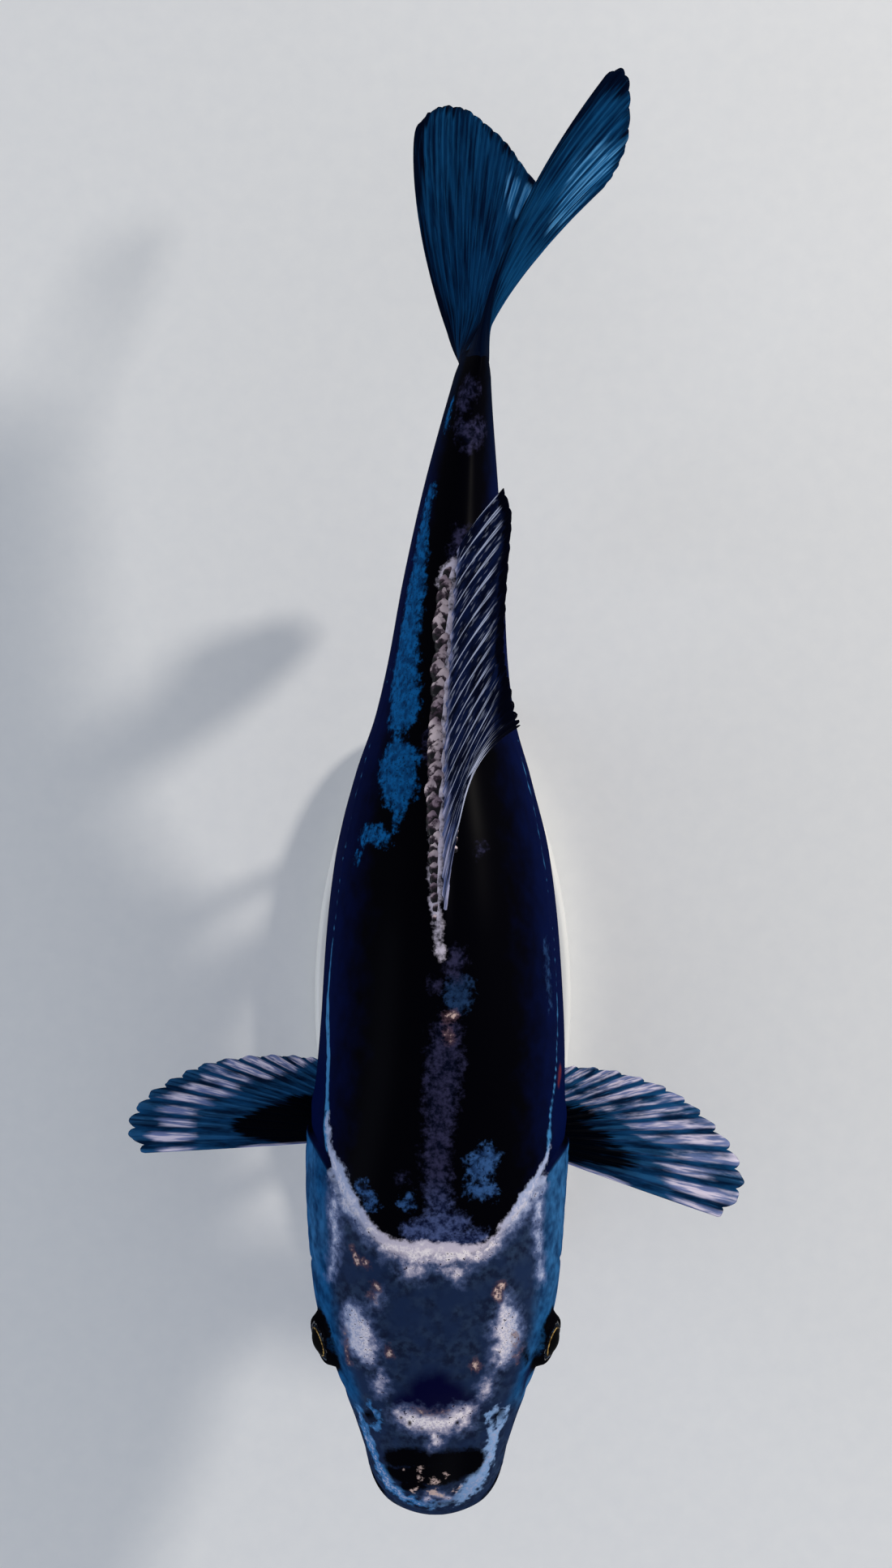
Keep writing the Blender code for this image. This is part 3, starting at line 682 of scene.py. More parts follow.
def ring_place(v, rise):
    """The place along the body of a point of the grid."""
    place = RING_PLACES(v)
    off = np.clip((place - GILL_RING_PLACE) / EDGE_PULL, -1, 1)
    return place + (gill_edge(rise) - GILL_RING_PLACE) * np.cos(off * math.pi / 2) ** 2


# %% Folds of the head and body, all in metres along the normal
EYE_PLACE = 0.154
EYE_ANGLE = math.radians(12)
EYE_RADIUS = 0.0062
EYE_INSET = 0.0034
EYE_LIFT = 0.12
EYE_OPENING = 0.0043
LID_DEPTH = 0.0005

NOSTRIL = (0.0900, 42.5)


def eye_axis(side):
    """The middle of the eyeball and the way it looks, which is a little more upwards than the skin faces."""
    angle = np.array(EYE_ANGLE if side > 0 else math.pi - EYE_ANGLE)
    normal = body_normal(np.array(EYE_PLACE), angle)
    return on_body(np.array(EYE_PLACE), angle) - normal * EYE_INSET, unit(normal + [0.0, 0.0, EYE_LIFT])


def mouth_folds(place, rise, points):
    """Lips either side of the mouth's line, which drops from the snout to its corner."""
    off = above_mouth(place, points)
    open_part = 1 - ease((place - MOUTH_CORNER + 0.014) / 0.014)
    lips = 0.95 * hill((off - 2.0) / 1.5) - 0.60 * hill((off - 4.7) / 0.75) + 0.30 * hill((off - 6.4) / 1.2)
    lips += 0.80 * hill((off + 1.7) / 1.2) - 0.50 * hill((off + 4.1) / 0.9)
    slit = -1.9 * hill(off / 0.45)
    corner = 0.45 * hill((place - MOUTH_CORNER - 0.004) / 0.008) * hill((off + 0.5) / 2.4)
    corner -= 0.5 * hill((place - MOUTH_CORNER - 0.001 - 0.0010 * off) / 0.0032) * hill((off + 0.9) / 1.9)
    return (open_part * (lips + slit) + corner) * MM


def nostril_folds(place, rise):
    """An oval pit with a low rim and the flap of skin that divides it."""
    along = (place - NOSTRIL[0]) * BODY_LENGTH / MM
    over = (rise - NOSTRIL[1]) * 0.30
    oval = np.hypot(along / 1.35, over / 0.95)
    flap = 0.75 * hill((along - 0.25 * np.abs(over)) / 0.34) * hill(over / 0.8)
    return (-1.35 * hill(oval / 0.85) + 0.28 * hill((oval - 1.45) / 0.5) + flap) * MM


def gill_folds(place, rise):
    """The cover lifts towards its free edge, and behind it the body drops into a groove."""
    beyond = (place - gill_edge(rise)) * BODY_LENGTH / MM
    strength = ease((56 - rise) / 16) * ease((rise + 86) / 18)
    lift = 0.60 * np.exp(np.minimum(beyond, 0) / 6.0)
    drop = -0.55 * np.exp(-np.maximum(beyond, 0) / 1.8) + 0.35 * hill((beyond - 5.5) / 2.4)
    folds = np.where(beyond < 1e-4, lift, drop) * strength
    membrane = -0.16 * hill((beyond + 2.6) / 0.55) * ease((30 - rise) / 30) * strength
    front_edge = 0.205 + 0.018 * np.cos(np.radians(rise + 20)) - 0.00035 * np.maximum(0, -rise - 30)
    preopercle = -0.32 * hill(
        (place - front_edge) * BODY_LENGTH / MM / 0.7
    ) * ease((34 - rise) / 20) * ease((rise + 62) / 20)
    cheek = 0.35 * hill((place - 0.178) / 0.030) * hill((rise + 26) / 26)
    spokes = np.sin(np.degrees(np.arctan2((place - 0.215) * BODY_LENGTH / MM, (rise - 32) * 0.42)) * 0.55)
    bone = 0.045 * spokes * ease((place - 0.222) / 0.02) * strength * (beyond < 0)
    return (folds + membrane + preopercle + cheek + bone) * MM


def body_folds(place, rise, across):
    """The sheath of the dorsal fin, the lateral line, the seat of the paired fins, the nape and the vent."""
    ends = ease((place - 0.485) / 0.03) * ease((0.84 - place) / 0.03)
    sheath = 1.0 * hill(across * BODY_LENGTH / MM / 1.5) * ends * (rise > 0)
    pores = 0.6 + 0.4 * np.cos(place * BODY_LENGTH / MM * math.tau / 2.4)
    line = 0.13 * hill(
        (rise - 25) * 0.42 / 0.55
    ) * pores * ease((place - 0.335) / 0.03) * ease((0.98 - place) / 0.05)
    pectoral = 1.1 * hill((place - 0.338) / 0.026) * hill((rise + 44) / 10)
    pelvic = 0.7 * hill((place - 0.505) / 0.020) * hill((rise + 62) / 8)
    anal = 0.8 * hill((rise + 90) / 9) * ease((place - 0.735) / 0.02) * ease((0.835 - place) / 0.03)
    vent = -0.8 * hill(
        (place - 0.728) / 0.006
    ) * hill((rise + 90) / 7) + 0.5 * hill((place - 0.728) / 0.014) * hill((rise + 90) / 14)
    nape = -0.22 * hill(
        (place - NAPE_LINE(np.abs(across)) - 0.006) * BODY_LENGTH / MM / 1.1
    ) * ease((rise - 20) / 20)
    breast = 0.3 * hill((place - 0.30) / 0.03) * hill((rise + 88) / 10)
    return (sheath + line + pectoral + pelvic + anal + vent + nape + breast) * MM


def skull_folds(place, rise):
    """Soft relief of the skull: a groove before the eyes, brows above them and a low crest between."""
    brow = 0.42 * hill((place - 0.150) / 0.030) * hill((rise - 38) / 9)
    snout_step = -0.25 * hill((place - 0.100) / 0.010) * ease((rise - 30) / 25)
    crest = 0.18 * hill((rise - 90) / 16) * hill((place - 0.165) / 0.05)
    hollow = -0.22 * hill((rise - 64) / 8) * hill((place - 0.150) / 0.035)
    lachrymal = -0.28 * hill((place - 0.112 - 0.0006 * (rise - 10)) / 0.006) * hill((rise - 8) / 20)
    return (brow + snout_step + crest + hollow + lachrymal) * MM


def wrap_eye(points, normals, side):
    """Raises the skin into a rim round the eyeball and sinks it inside the opening, where the eye shows."""
    centre, look = eye_axis(side)
    off = points - centre
    along = off @ look
    radial = off - along[:, None] * look
    away = np.linalg.norm(radial, axis=1)
    near = (away < 0.012) & (along > 0)
    shell = EYE_RADIUS + LID_DEPTH
    dome = np.sqrt(np.maximum(shell**2 - away**2, 0.0))
    rim = 0.0006 * hill((away - EYE_OPENING - 0.0010) / 0.0009)
    blend = ease((0.0088 - away) / 0.0040)
    target = np.maximum(along, along + (dome - along) * blend) + rim
    sunk = EYE_RADIUS * 0.55
    wanted = np.where(away < EYE_OPENING, sunk, target)
    snap = np.abs(away - EYE_OPENING) < 0.00022
    stretch = np.where(snap, EYE_OPENING / np.maximum(away, 1e-9), 1.0)
    moved = centre + radial * stretch[:, None] + wanted[:, None] * look
    points[near] = moved[near]


# %% Make the skin
def mesh_from(bm, name):
    """The finished bmesh as a mesh whose faces point outwards."""
    bmesh.ops.recalc_face_normals(bm, faces=bm.faces)
    mesh = bpy.data.meshes.new(name)
    bm.to_mesh(mesh)
    bm.free()
    return mesh


def link(name, mesh, finish):
    """Puts a finished mesh in the scene as one piece, with smooth shading."""
    mesh.shade_smooth()
    if finish:
        mesh.materials.append(finish)
    piece = bpy.data.objects.new(name, mesh)
    bpy.context.scene.collection.objects.link(piece)
    return piece


def grid_mesh(name, columns, rows, lay, merge=1e-6):
    """A grid whose points lay(u, v) puts down, u and v being arrays from 0 to 1. Seams and poles that meet
    are merged, a corner left with only two edges is dissolved, open ends are closed, and u and v stay on
    the vertices as the attributes turn and reach."""
    bm = bmesh.new()
    bmesh.ops.create_grid(bm, x_segments=columns, y_segments=rows, size=0.5)
    flat = np.array([vert.co[:2] for vert in bm.verts]) + 0.5
    u, v = (np.clip(np.round(flat[:, i] * count) / count, 0, 1) for i, count in ((0, columns), (1, rows)))
    turn, reach = bm.verts.layers.float.new("turn"), bm.verts.layers.float.new("reach")
    for vert, place, turn_here, reach_here in zip(bm.verts, lay(u, v), u.tolist(), v.tolist()):
        vert.co = place
        vert[turn] = turn_here
        vert[reach] = reach_here
    bmesh.ops.remove_doubles(bm, verts=bm.verts, dist=merge)
    corners = [vert for vert in bm.verts if len(vert.link_edges) == 2]
    bmesh.ops.dissolve_verts(bm, verts=corners)
    ends = [edge for edge in bm.edges if edge.is_boundary]
    if ends:
        caps = bmesh.ops.holes_fill(bm, edges=ends, sides=0)["faces"]
        bmesh.ops.poke(bm, faces=caps)
    return mesh_from(bm, name)


def mesh_points(mesh):
    flat = np.empty(len(mesh.vertices) * 3, np.float32)
    mesh.vertices.foreach_get("co", flat)
    return flat.reshape(-1, 3).astype(float)


TAIL_WEDGE = 0.984
TAIL_PINCH = 0.13
TAIL_ROOT_ROLL = 0.011
TAIL_ROLL_START = 0.93
SNOUT_BLUNT = 0.006


def lay_skin(u, v):
    angle = u * math.tau
    rise = rise_of(angle)
    place = ring_place(v, rise)
    points = on_body(
        np.minimum(place, 1.0), angle
    ) + (np.maximum(place, 1.0) - 1.0)[:, None] * BODY_LENGTH * np.array([0.1, 1, 0])
    normals = body_normal(np.minimum(place, 1.0), angle)
    across = where_on_body(points)[1]
    out = mouth_folds(place, rise, points) + nostril_folds(place, rise) + gill_folds(place, rise)
    out += body_folds(place, rise, across) + skull_folds(place, rise)
    out *= ease((1.0 - place) / 0.02)
    blunt = ease((SNOUT_BLUNT - place) / SNOUT_BLUNT)[:, None]
    normals = unit(normals * (1 - blunt) + np.array([0.0, -1.0, 0.0]) * blunt)
    points = points + normals * out[:, None]
    for side in (1, -1):
        wrap_eye(points, normals, side)
    pinch = ease((place - TAIL_WEDGE) / (TAIL_SKIN_END - TAIL_WEDGE)) * TAIL_PINCH
    middle = axis_point(np.minimum(place, 1.0))
    points[:, 0] += (middle[:, 0] - points[:, 0]) * pinch
    points[:, 2] += (middle[:, 2] - points[:, 2]) * pinch * 0.15
    low, high = belly_at(1.0), back_at(1.0)
    share = np.clip(((points[:, 2] - AXIS_HEIGHT) / BODY_LENGTH - low) / (high - low), 0, 1)
    roll = (share - 0.5) * TAIL_ROOT_ROLL * ease((place - TAIL_ROLL_START) / (1 - TAIL_ROLL_START))
    points[:, 0] += roll * BODY_LENGTH
    return points


skin_mesh = grid_mesh("koi_skin", SKIN_SIDES, SKIN_RINGS, lay_skin)
paint(skin_mesh, mesh_points(skin_mesh))
print("skin:", len(skin_mesh.vertices), "vertices,", len(skin_mesh.polygons) * 2, "triangles or fewer")

# %% [markdown]
# ## Finish of the skin
# Koi skin is a clear wet layer over pigment: black on the back, slate on the skull, pearl white where the
# pigment is missing. The deep indigo on the flanks is painted sheen. It could be one painted map, but then it
# would blur close up. The pigments are layered here from the bottom up, as they lie in the fish, with painted
# light among them: a glint along the lateral line, shade in the groove behind the gill cover, and pale marks
# whitest on top of the back and bluish down its sides. Fine noise frays every edge. The gloss is held low,
# because a black back shows every reflection of a lamp.

# %% Skin finish
BLACK = "#020206"
# The flanks' deep indigo, and the darker blue on the stalk, are painted sheen; that stalk blue is also the
# tail fin's own dark pigment.
INDIGO_SHEEN = "#030c33"
STALK = "#020b1f"
SLATE = ("#151d33", "#283750")
TEAL = ("#062a50", "#18558a")
STEEL = ("#102f55", "#2f6597")
PEARL = ("#8d93ad", "#c3c3d0")
NAVY = "#05062b"
BLUE = ("#093560", "#0f5791")
DUSK = ("#122649", "#335687")
LILAC = ("#060a1c", "#302f4a")
HAZE = ("#121b3c", "#4c5a86")
# The pale blue of the lateral line is a painted glint.
LATERAL_LINE_GLINT = "#3a76a8"
RIM = ("#366fa6", "#8fabd2")
PALE = ("#55648c", "#ccc2d1", "#f4eaec", "#99a3c2")
RUST = "#574049"
PEACH = "#cfb3aa"
BLOOD = "#55202c"


def skin_finish():
    """Wet koi skin: pigment under a thin clear layer, soft gloss, and a leathery grain of about half a
    millimetre."""
    made, add = start_material(
        "wet koi skin",
        Specular_IOR_Level=0.0,
        Coat_Weight=0.02,
        Coat_Roughness=0.35,
        Subsurface_Weight=0.0,
    )
    coarse = speckle(add, 5.0, 2.0, offset=(0.02, 0.0, 0.01))
    middle = speckle(add, 1.7, 3.0)
    fine = speckle(add, 0.62, 2.0, 0.6, offset=(0.0, 0.03, 0.0))
    fray = add("ADD", add("MULTIPLY", middle, 0.65), add("MULTIPLY", fine, 0.35))
    rise, place, across, head, gill = (
        add("painted", attribute_name=name) for name in ("rise", "place", "across", "head", "gill")
    )

    def depth(name, ragged):
        """The depth inside a pigment in millimetres, with its edge frayed by up to that much."""
        field = add("painted", attribute_name=name)
        shift = add("MULTIPLY_ADD", fray, 2 * ragged / 0.5, -ragged / 0.5)
        return add("ADD", field, shift)

    def two_tone(tones, noise_value, low=0.35, high=0.65):
        return add("mix", add("step", noise_value, low, high), tones[0], tones[1])

    def lay(under, over, *factors):
        factor = factors[0]
        for other in factors[1:]:
            factor = add("MULTIPLY", factor, other)
        return add("mix", factor, under, over)

    # The back is black, and the flanks below it deep indigo: a painted bluish sheen, darker towards the
    # stalk.
    flank = add("step", add("MULTIPLY_ADD", coarse, 0.3, rise), 0.80, 0.35)
    side = add("mix", add("step", place, 0.84, 0.99), INDIGO_SHEEN, STALK)
    colour = add("mix", flank, BLACK, side)

    # The belly is pearl, with a ragged border low on the flank.
    wobble = add("MULTIPLY_ADD", coarse, 0.34, add("MULTIPLY_ADD", fray, 0.16, rise))
    broad = speckle(add, 21.0, 2.0, 0.5, offset=(0.05, 0.02, 0.0))
    border = add("MULTIPLY_ADD", broad, 1.5, add("MULTIPLY_ADD", wobble, 0.8, -0.95))
    border = add("ADD", border, add("step", place, 0.88, 0.99, 0.0, 0.8))
    pearl = two_tone(PEARL, middle)
    colour = lay(colour, pearl, add("step", border, -0.22, -0.27))

    # The head is slate on top, clear teal over the gills, and pearl below.
    head_depth = add("ADD", head, add("MULTIPLY_ADD", fray, 3.0, -1.5))
    on_head = add("step", head_depth, -0.6, 0.6)
    slate = add("mix", add("step", coarse, 0.3, 0.7), two_tone(SLATE, middle), "#1c2b49")
    colour = lay(colour, slate, on_head, add("step", wobble, -0.06, 0.04))
    gill_side = add("MULTIPLY", add("step", rise, 0.50, 0.34), add("step", wobble, -0.48, -0.38))
    before_edge = add("MULTIPLY", add("step", gill, 0.2, -0.6), add("step", place, 0.085, 0.115))
    bony = add("ADD", add("MULTIPLY", coarse, 0.6), add("MULTIPLY", middle, 0.4))
    cover = add(
        "mix", add("step", broad, 0.40, 0.62), two_tone(TEAL, bony, 0.3, 0.7),
        two_tone(STEEL, bony, 0.3, 0.7)
    )
    colour = lay(colour, cover, gill_side, before_edge)
    mottled = add("MULTIPLY", add("step", wobble, 0.10, -0.12), add("step", fray, 0.34, 0.54))
    throat = add("MAXIMUM", mottled, add("step", wobble, -0.16, -0.36))
    colour = lay(colour, pearl, throat, add("step", gill, 0.2, -0.6))
    # A black line just behind the gill cover's free edge is painted shade in the groove there.
    slit = add("MULTIPLY", add("step", gill, -0.15, 0.25), add("step", gill, 1.7, 0.5))
    colour = lay(colour, BLACK, slit, add("step", rise, 0.32, 0.10))

    # Patches and marks, from the deepest to the one that lies on top.
    colour = lay(colour, NAVY, add("step", depth("navy", 0.5), -1.6, 2.2))
    blue = add(
        "mix", add("step", place, 0.50, 0.54), two_tone(DUSK, middle, 0.3, 0.65),
        two_tone(BLUE, middle, 0.35, 0.65)
    )
    faint = add("MAXIMUM", add("step", place, 0.36, 0.42, 1.0, 0.40), add("step", place, 0.50, 0.54))
    worn = add("MULTIPLY", faint, add("step", fine, 0.28, 0.46, 0.25, 1.0))
    colour = lay(colour, blue, add("step", depth("blue", 1.9), -0.8, 1.2), worn)
    dust = add(
        "mix", add("step", place, 0.25, 0.31), two_tone(HAZE, fray, 0.36, 0.66),
        two_tone(LILAC, fray, 0.38, 0.66)
    )
    colour = lay(colour, dust, add("step", depth("lilac", 1.6), -1.6, 1.2))
    # Pale blue along the lateral line: a painted glint of its row of scales.
    colour = lay(
        colour, LATERAL_LINE_GLINT, add("step", depth("line", 0.2), -0.35, 0.35), add("step", middle, 0.25, 0.45)
    )
    rim = add("mix", add("MULTIPLY_ADD", coarse, 0.8, add("step", across, -0.03, 0.03, -0.4, 0.3)), *RIM)
    rim_depth = add("MULTIPLY_ADD", middle, 4.0, add("ADD", depth("rim", 0.8), -2.0))
    colour = lay(colour, rim, add("step", rim_depth, -0.7, 0.8))
    colour = lay(colour, PALE[3], add("step", rim_depth, 0.5, 1.9), add("step", fine, 0.42, 0.62))
    colour = lay(colour, BLACK, add("step", depth("black", 0.9), -0.9, 0.7))
    pale = depth("pale", 0.9)
    broken = add("MULTIPLY_ADD", middle, 2.4, add("ADD", pale, -2.7))
    cloud = add("MULTIPLY_ADD", coarse, 3.0, broken)
    # Pale marks are painted whitest along the top of the back and bluish down its sides: a painted highlight
    # and painted shade over their own white.
    off_middle = add("step", add("ABSOLUTE", across), 0.035, 0.075)
    white_with_painted_side_shade = add("mix", off_middle, PALE[1], PALE[3])
    colour = lay(colour, PALE[0], add("step", cloud, -2.2, 1.0, 0.0, 0.8), on_head)
    colour = lay(colour, white_with_painted_side_shade, add("step", cloud, -0.4, 1.9, 0.0, 0.9), on_head)
    colour = lay(colour, white_with_painted_side_shade, add("step", pale, -0.5, 0.7), add("step", head_depth, 0.6, -0.6))
    colour = lay(
        colour, PALE[2], add("step", cloud, 0.9, 2.3), add("step", fine, 0.33, 0.56),
        add("step", off_middle, 1.0, 0.2, 0.35, 1.0)
    )
    specks = add("MULTIPLY", add("step", cloud, -1.0, 0.5), add("step", fine, 0.62, 0.70))
    colour = lay(colour, NAVY, specks, on_head)
    peach = depth("peach", 1.2)
    colour = lay(colour, RUST, add("step", peach, -0.9, 0.3, 0.0, 0.7), add("step", place, 0.05, 0.08))
    colour = lay(colour, PEACH, add("step", peach, 0.0, 0.9), add("step", fine, 0.36, 0.5))
    colour = lay(colour, BLACK, add("step", depth("dot", 0.25), -0.25, 0.25))
    colour = lay(colour, BLOOD, add("step", depth("red", 0.5), -0.9, 0.9))

    gloss = add("step", middle, 0.3, 0.7, 0.36, 0.50)
    grain = add("ADD", add("MULTIPLY", middle, 0.6), add("MULTIPLY", fine, 0.4))
    return finished(made, Base_Color=colour, Roughness=gloss, Normal=add("bump", 0.35, 0.00012, grain))


SKIN_FINISH = skin_finish()
skin = link("koi_skin", skin_mesh, SKIN_FINISH)
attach(skin, "root")
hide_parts("head", "lower_jaw", "gill_cover_left", "gill_cover_right", "trunk", "tail_stalk")
print("skin nodes in its finish:", len(SKIN_FINISH.node_tree.nodes))

# %% [markdown]
# ## Eyes
# A koi's eye is a glossy ball that stands a little out of the head: a black pupil, a thin gold ring round
# it and a dark iris with silver flecks. A ball alone would look glued on, so the skin already rises round
# it, and a soft ring of skin, spun round the way the eye looks, closes the gap between the two.

# %% Eyes
def turned_to(points, centre, look):
    """Points made round the Z axis, turned so that Z looks along look and moved to the centre."""
    turn = Vector(look).to_track_quat("Z", "Y").to_matrix()
    return points @ np.array(turn).T + centre


def eye_finish():
    """A wet eye: the clear cornea is the shader's coat, and rings round the pupil follow the distance from
    it."""
    made, add = start_material(
        "wet fish eye", Roughness=0.2, Specular_IOR_Level=0.0, Coat_Weight=0.06, Coat_Roughness=0.03
    )
    away = add("painted", attribute_name="away")
    fleck = speckle(add, 0.5, 3.0)
    iris = add("mix", add("step", fleck, 0.52, 0.70), "#04060c", "#2c4058")
    frayed = add("MULTIPLY_ADD", fleck, 0.30, away)
    ring = add("MULTIPLY", add("step", frayed, 3.08, 3.16), add("step", frayed, 3.40, 3.28))
    worn = speckle(add, 2.2, 3.0, offset=(0.02, 0.01, 0.0))
    ring = add("MULTIPLY", ring, add("step", worn, 0.38, 0.54, 0.12, 1.0))
    gold = add("mix", add("step", fleck, 0.4, 0.6), "#553f20", "#bb9a58")
    colour = add("mix", ring, iris, gold)
    colour = add("mix", add("step", away, 2.98, 2.90), colour, "#010102")
    return finished(made, Base_Color=colour)


def add_eye(label, side, finish):
    centre, look = eye_axis(side)

    def lay(u, v):
        polar = v * math.pi * 0.62
        turn = u * math.tau
        bulge = EYE_RADIUS * (1 + 0.035 * hill(polar / 0.35))
        round_z = stacked(
            np.sin(polar) * np.cos(turn), np.sin(polar) * np.sin(turn), np.cos(polar)
        ) * bulge[:, None]
        return turned_to(round_z, centre, look)

    mesh = grid_mesh(f"koi_eye_{label}", 64, 40, lay)
    points = mesh_points(mesh) - centre
    along = points @ look
    away = np.linalg.norm(points - along[:, None] * look, axis=1) / MM
    store(mesh, {"away": away})
    eye = link(f"koi_eye_{label}", mesh, finish)
    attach(eye, "root")
    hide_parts(f"eye_{label}")


def add_eye_rim(label, side, finish):
    """The fold of skin that holds the eye: a flattened ring that dips into the skin outside and touches the
    ball."""
    centre, look = eye_axis(side)

    def lay(u, v):
        turn, round_ring = u * math.tau, v * math.tau
        across = 0.00062 * np.cos(round_ring)
        up = 0.00034 * np.sin(round_ring)
        away = EYE_OPENING + 0.00022 + across
        height = np.sqrt((EYE_RADIUS + 0.00012) ** 2 - away**2) + up + 0.00005 * np.sin(7 * turn)
        return turned_to(stacked(away * np.cos(turn), away * np.sin(turn), height), centre, look)

    mesh = grid_mesh(f"koi_eye_rim_{label}", 72, 12, lay)
    paint(mesh, mesh_points(mesh))
    rim = link(f"koi_eye_rim_{label}", mesh, finish)
    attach(rim, "root")


def rim_finish():
    """The bare fold round the eye: moist slate skin with gold and rose flecks."""
    made, add = start_material("moist eyelid skin", Roughness=0.4, Coat_Weight=0.1, Coat_Roughness=0.1)
    fleck = speckle(add, 0.9, 3.0)
    colour = add("mix", add("step", fleck, 0.50, 0.66), "#05070f", "#453d40")
    colour = add("mix", add("step", speckle(add, 2.6, offset=(0.01, 0, 0)), 0.52, 0.64), colour, "#243a58")
    return finished(made, Base_Color=colour)


EYE_FINISH = eye_finish()
RIM_FINISH = rim_finish()
for label, side in (("left", 1), ("right", -1)):
    add_eye(label, side, EYE_FINISH)
    add_eye_rim(label, side, RIM_FINISH)
print("eye, mm across where it shows:", EYE_OPENING * 2 / MM)

# %% [markdown]
# ## Barbels
# Two pairs of feelers hang from the upper lip: short ones near the snout and longer ones at the mouth's
# corners. Each is a tube that leaves the lip outwards, curls down and back, thins and ends round. A curve
# with a bevel would do too, but a rolled grid lets the radius swell a little at the root.

# %% Barbels
BARBELS = {
    "rear": (0.062, -28.0, 0.0115, 0.00080, (0.10, 0.45, -0.90)),
    "front": (0.030, -14.0, 0.0056, 0.00058, (0.25, 0.10, -0.95)),
}
BARBEL_TIP = 0.34
BARBEL_CURL = (0.12, 0.42, 0.16)


def add_barbel(pair, label, side, finish):
    place_on, rise, length, radius, way = BARBELS[pair]
    angle = math.radians(rise) if side > 0 else math.pi - math.radians(rise)
    normal = body_normal(np.array(place_on), np.array(angle))
    start = on_body(np.array(place_on), np.array(angle)) - normal * 0.0012
    tip_way = unit(np.array([way[0] * side, way[1], way[2]]))
    curl_way = np.array(BARBEL_CURL) * [side, 1, 1]

    def middle(v):
        reach = normal * (v * (0.62 - 0.34 * v))[:, None] + tip_way * (
            0.72 * np.maximum(v, 0.0) ** 1.7
        )[:, None]
        return start + (reach + curl_way * (v**3)[:, None]) * length

    def lay(u, v):
        along = unit(middle(v + 0.01) - middle(v - 0.01))
        across = unit(np.cross(along, [0.3, 1.0, 0.2]))
        other = np.cross(along, across)
        round_tip = np.sqrt(np.maximum(0.0, 1 - np.maximum(0.0, (v - 0.9) / 0.1) ** 2))
        rings = 1 + 0.04 * np.sin(v * length / 0.0006 * math.tau)
        root = 0.85 * hill(v / 0.13)
        thin = radius * ((1 - BARBEL_TIP) * (1 - v) ** 0.8 + BARBEL_TIP + root) * round_tip * rings
        turn = u * math.tau
        return middle(v) + (across * np.cos(turn)[:, None] + other * np.sin(turn)[:, None]) * thin[:, None]

    mesh = grid_mesh(f"koi_barbel_{pair}_{label}", 20, 60, lay)
    paint(mesh, mesh_points(mesh))
    barbel = link(f"koi_barbel_{pair}_{label}", mesh, finish)
    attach(barbel, "root")
    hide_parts(f"barbel_{pair}_{label}")


def barbel_finish():
    """Moist feeler skin: as slate as the lip it grows from, a little paler towards its thin tip."""
    made, add = start_material(
        "moist barbel skin", Roughness=0.38, Specular_IOR_Level=0.2, Coat_Weight=0.08, Coat_Roughness=0.12
    )
    reach = add("MULTIPLY_ADD", speckle(add, 1.2), 0.5, add("painted", attribute_name="reach"))
    colour = add("mix", add("step", reach, 0.35, 1.2), "#18233c", "#66718f")
    return finished(made, Base_Color=colour)


BARBEL_FINISH = barbel_finish()
for barbel_pair in BARBELS:
    for label, side in (("left", 1), ("right", -1)):
        add_barbel(barbel_pair, label, side, BARBEL_FINISH)
print("barbels:", 2 * len(BARBELS))

# %% [markdown]
# ## Fins
# A fin is a fan of bony rays with a thin skin stretched between them. Each ray is thick at the root, forks
# twice on its way out and frays at the tip. One closed sheet per fin does it: a grid runs over the upper
# side of the fan and back under the lower side, its thickness follows the rays, and its free edge is
# scalloped between them. The middle of the sheet is the same surface that the solids have.

# %% Measures of the fins
ROOT_DEPTH = 0.0030
DORSAL_BASE = (0.502, 0.824)
DORSAL_REACH = (
    (0.00, 0.179, 0.066, 0.030),
    (0.12, 0.150, 0.062, 0.044),
    (0.25, 0.129, 0.057, 0.050),
    (0.50, 0.092, 0.050, 0.050),
    (0.60, 0.084, 0.050, 0.046),
    (0.85, 0.076, 0.051, 0.036),
    (1.00, 0.059, 0.041, 0.024),
)
ANAL_BASE = (0.752, 0.815)
ANAL_REACH = (
    (0.0, 0.070, 0.0, -0.098), (0.25, 0.080, 0.0, -0.088), (0.6, 0.066, 0.0, -0.062),
    (1.0, 0.050, 0.0, -0.040)
)
TAIL_BULGE = -0.017
TAIL_BULGE_END = 0.4
TAIL_REACH = (
    (0.00, 0.220, -0.044, -0.040),
    (0.05, 0.233, -0.033, -0.045),
    (0.10, 0.238, -0.020, -0.049),
    (0.16, 0.235, -0.005, -0.052),
    (0.24, 0.220, 0.013, -0.049),
    (0.32, 0.200, 0.031, -0.040),
    (0.40, 0.177, 0.044, -0.026),
    (0.46, 0.151, 0.062, -0.012),
    (0.50, 0.133, 0.077, 0.000),
    (0.60, 0.142, 0.099, 0.012),
    (0.72, 0.159, 0.117, 0.026),
    (0.84, 0.195, 0.128, 0.036),
    (0.88, 0.214, 0.128, 0.038),
    (0.93, 0.232, 0.126, 0.040),
    (0.965, 0.242, 0.119, 0.040),
    (1.00, 0.238, 0.107, 0.039),
)
PECTORAL_FAN = (
    (0.00, 0.0, 0.190),
    (0.12, 7.6, 0.203),
    (0.24, 14.0, 0.194),
    (0.40, 22.4, 0.168),
    (0.55, 29.7, 0.142),
    (0.70, 38.5, 0.107),
    (0.85, 50.0, 0.071),
    (1.00, 64.0, 0.040),
)
PECTORAL = {
    "root": (0.335, -44.0), "width": 0.042, "fan": PECTORAL_FAN, "droop": 0.12,
    "lead": {"left": -20.0, "right": -4.0}, "spread": {"left": 1.0, "right": 0.74},
}
PELVIC = {
    "root": (0.500, -62.0), "width": 0.024, "droop": 0.42,
    "fan": (
        (0.0, 0.0, 0.126), (0.2, 6.0, 0.138), (0.5, 16.0, 0.122), (0.8, 26.0, 0.090), (1.0, 34.0, 0.066)
    ),
    "lead": {"left": 75.0, "right": 75.0}, "spread": {"left": 1.0, "right": 1.0},
}


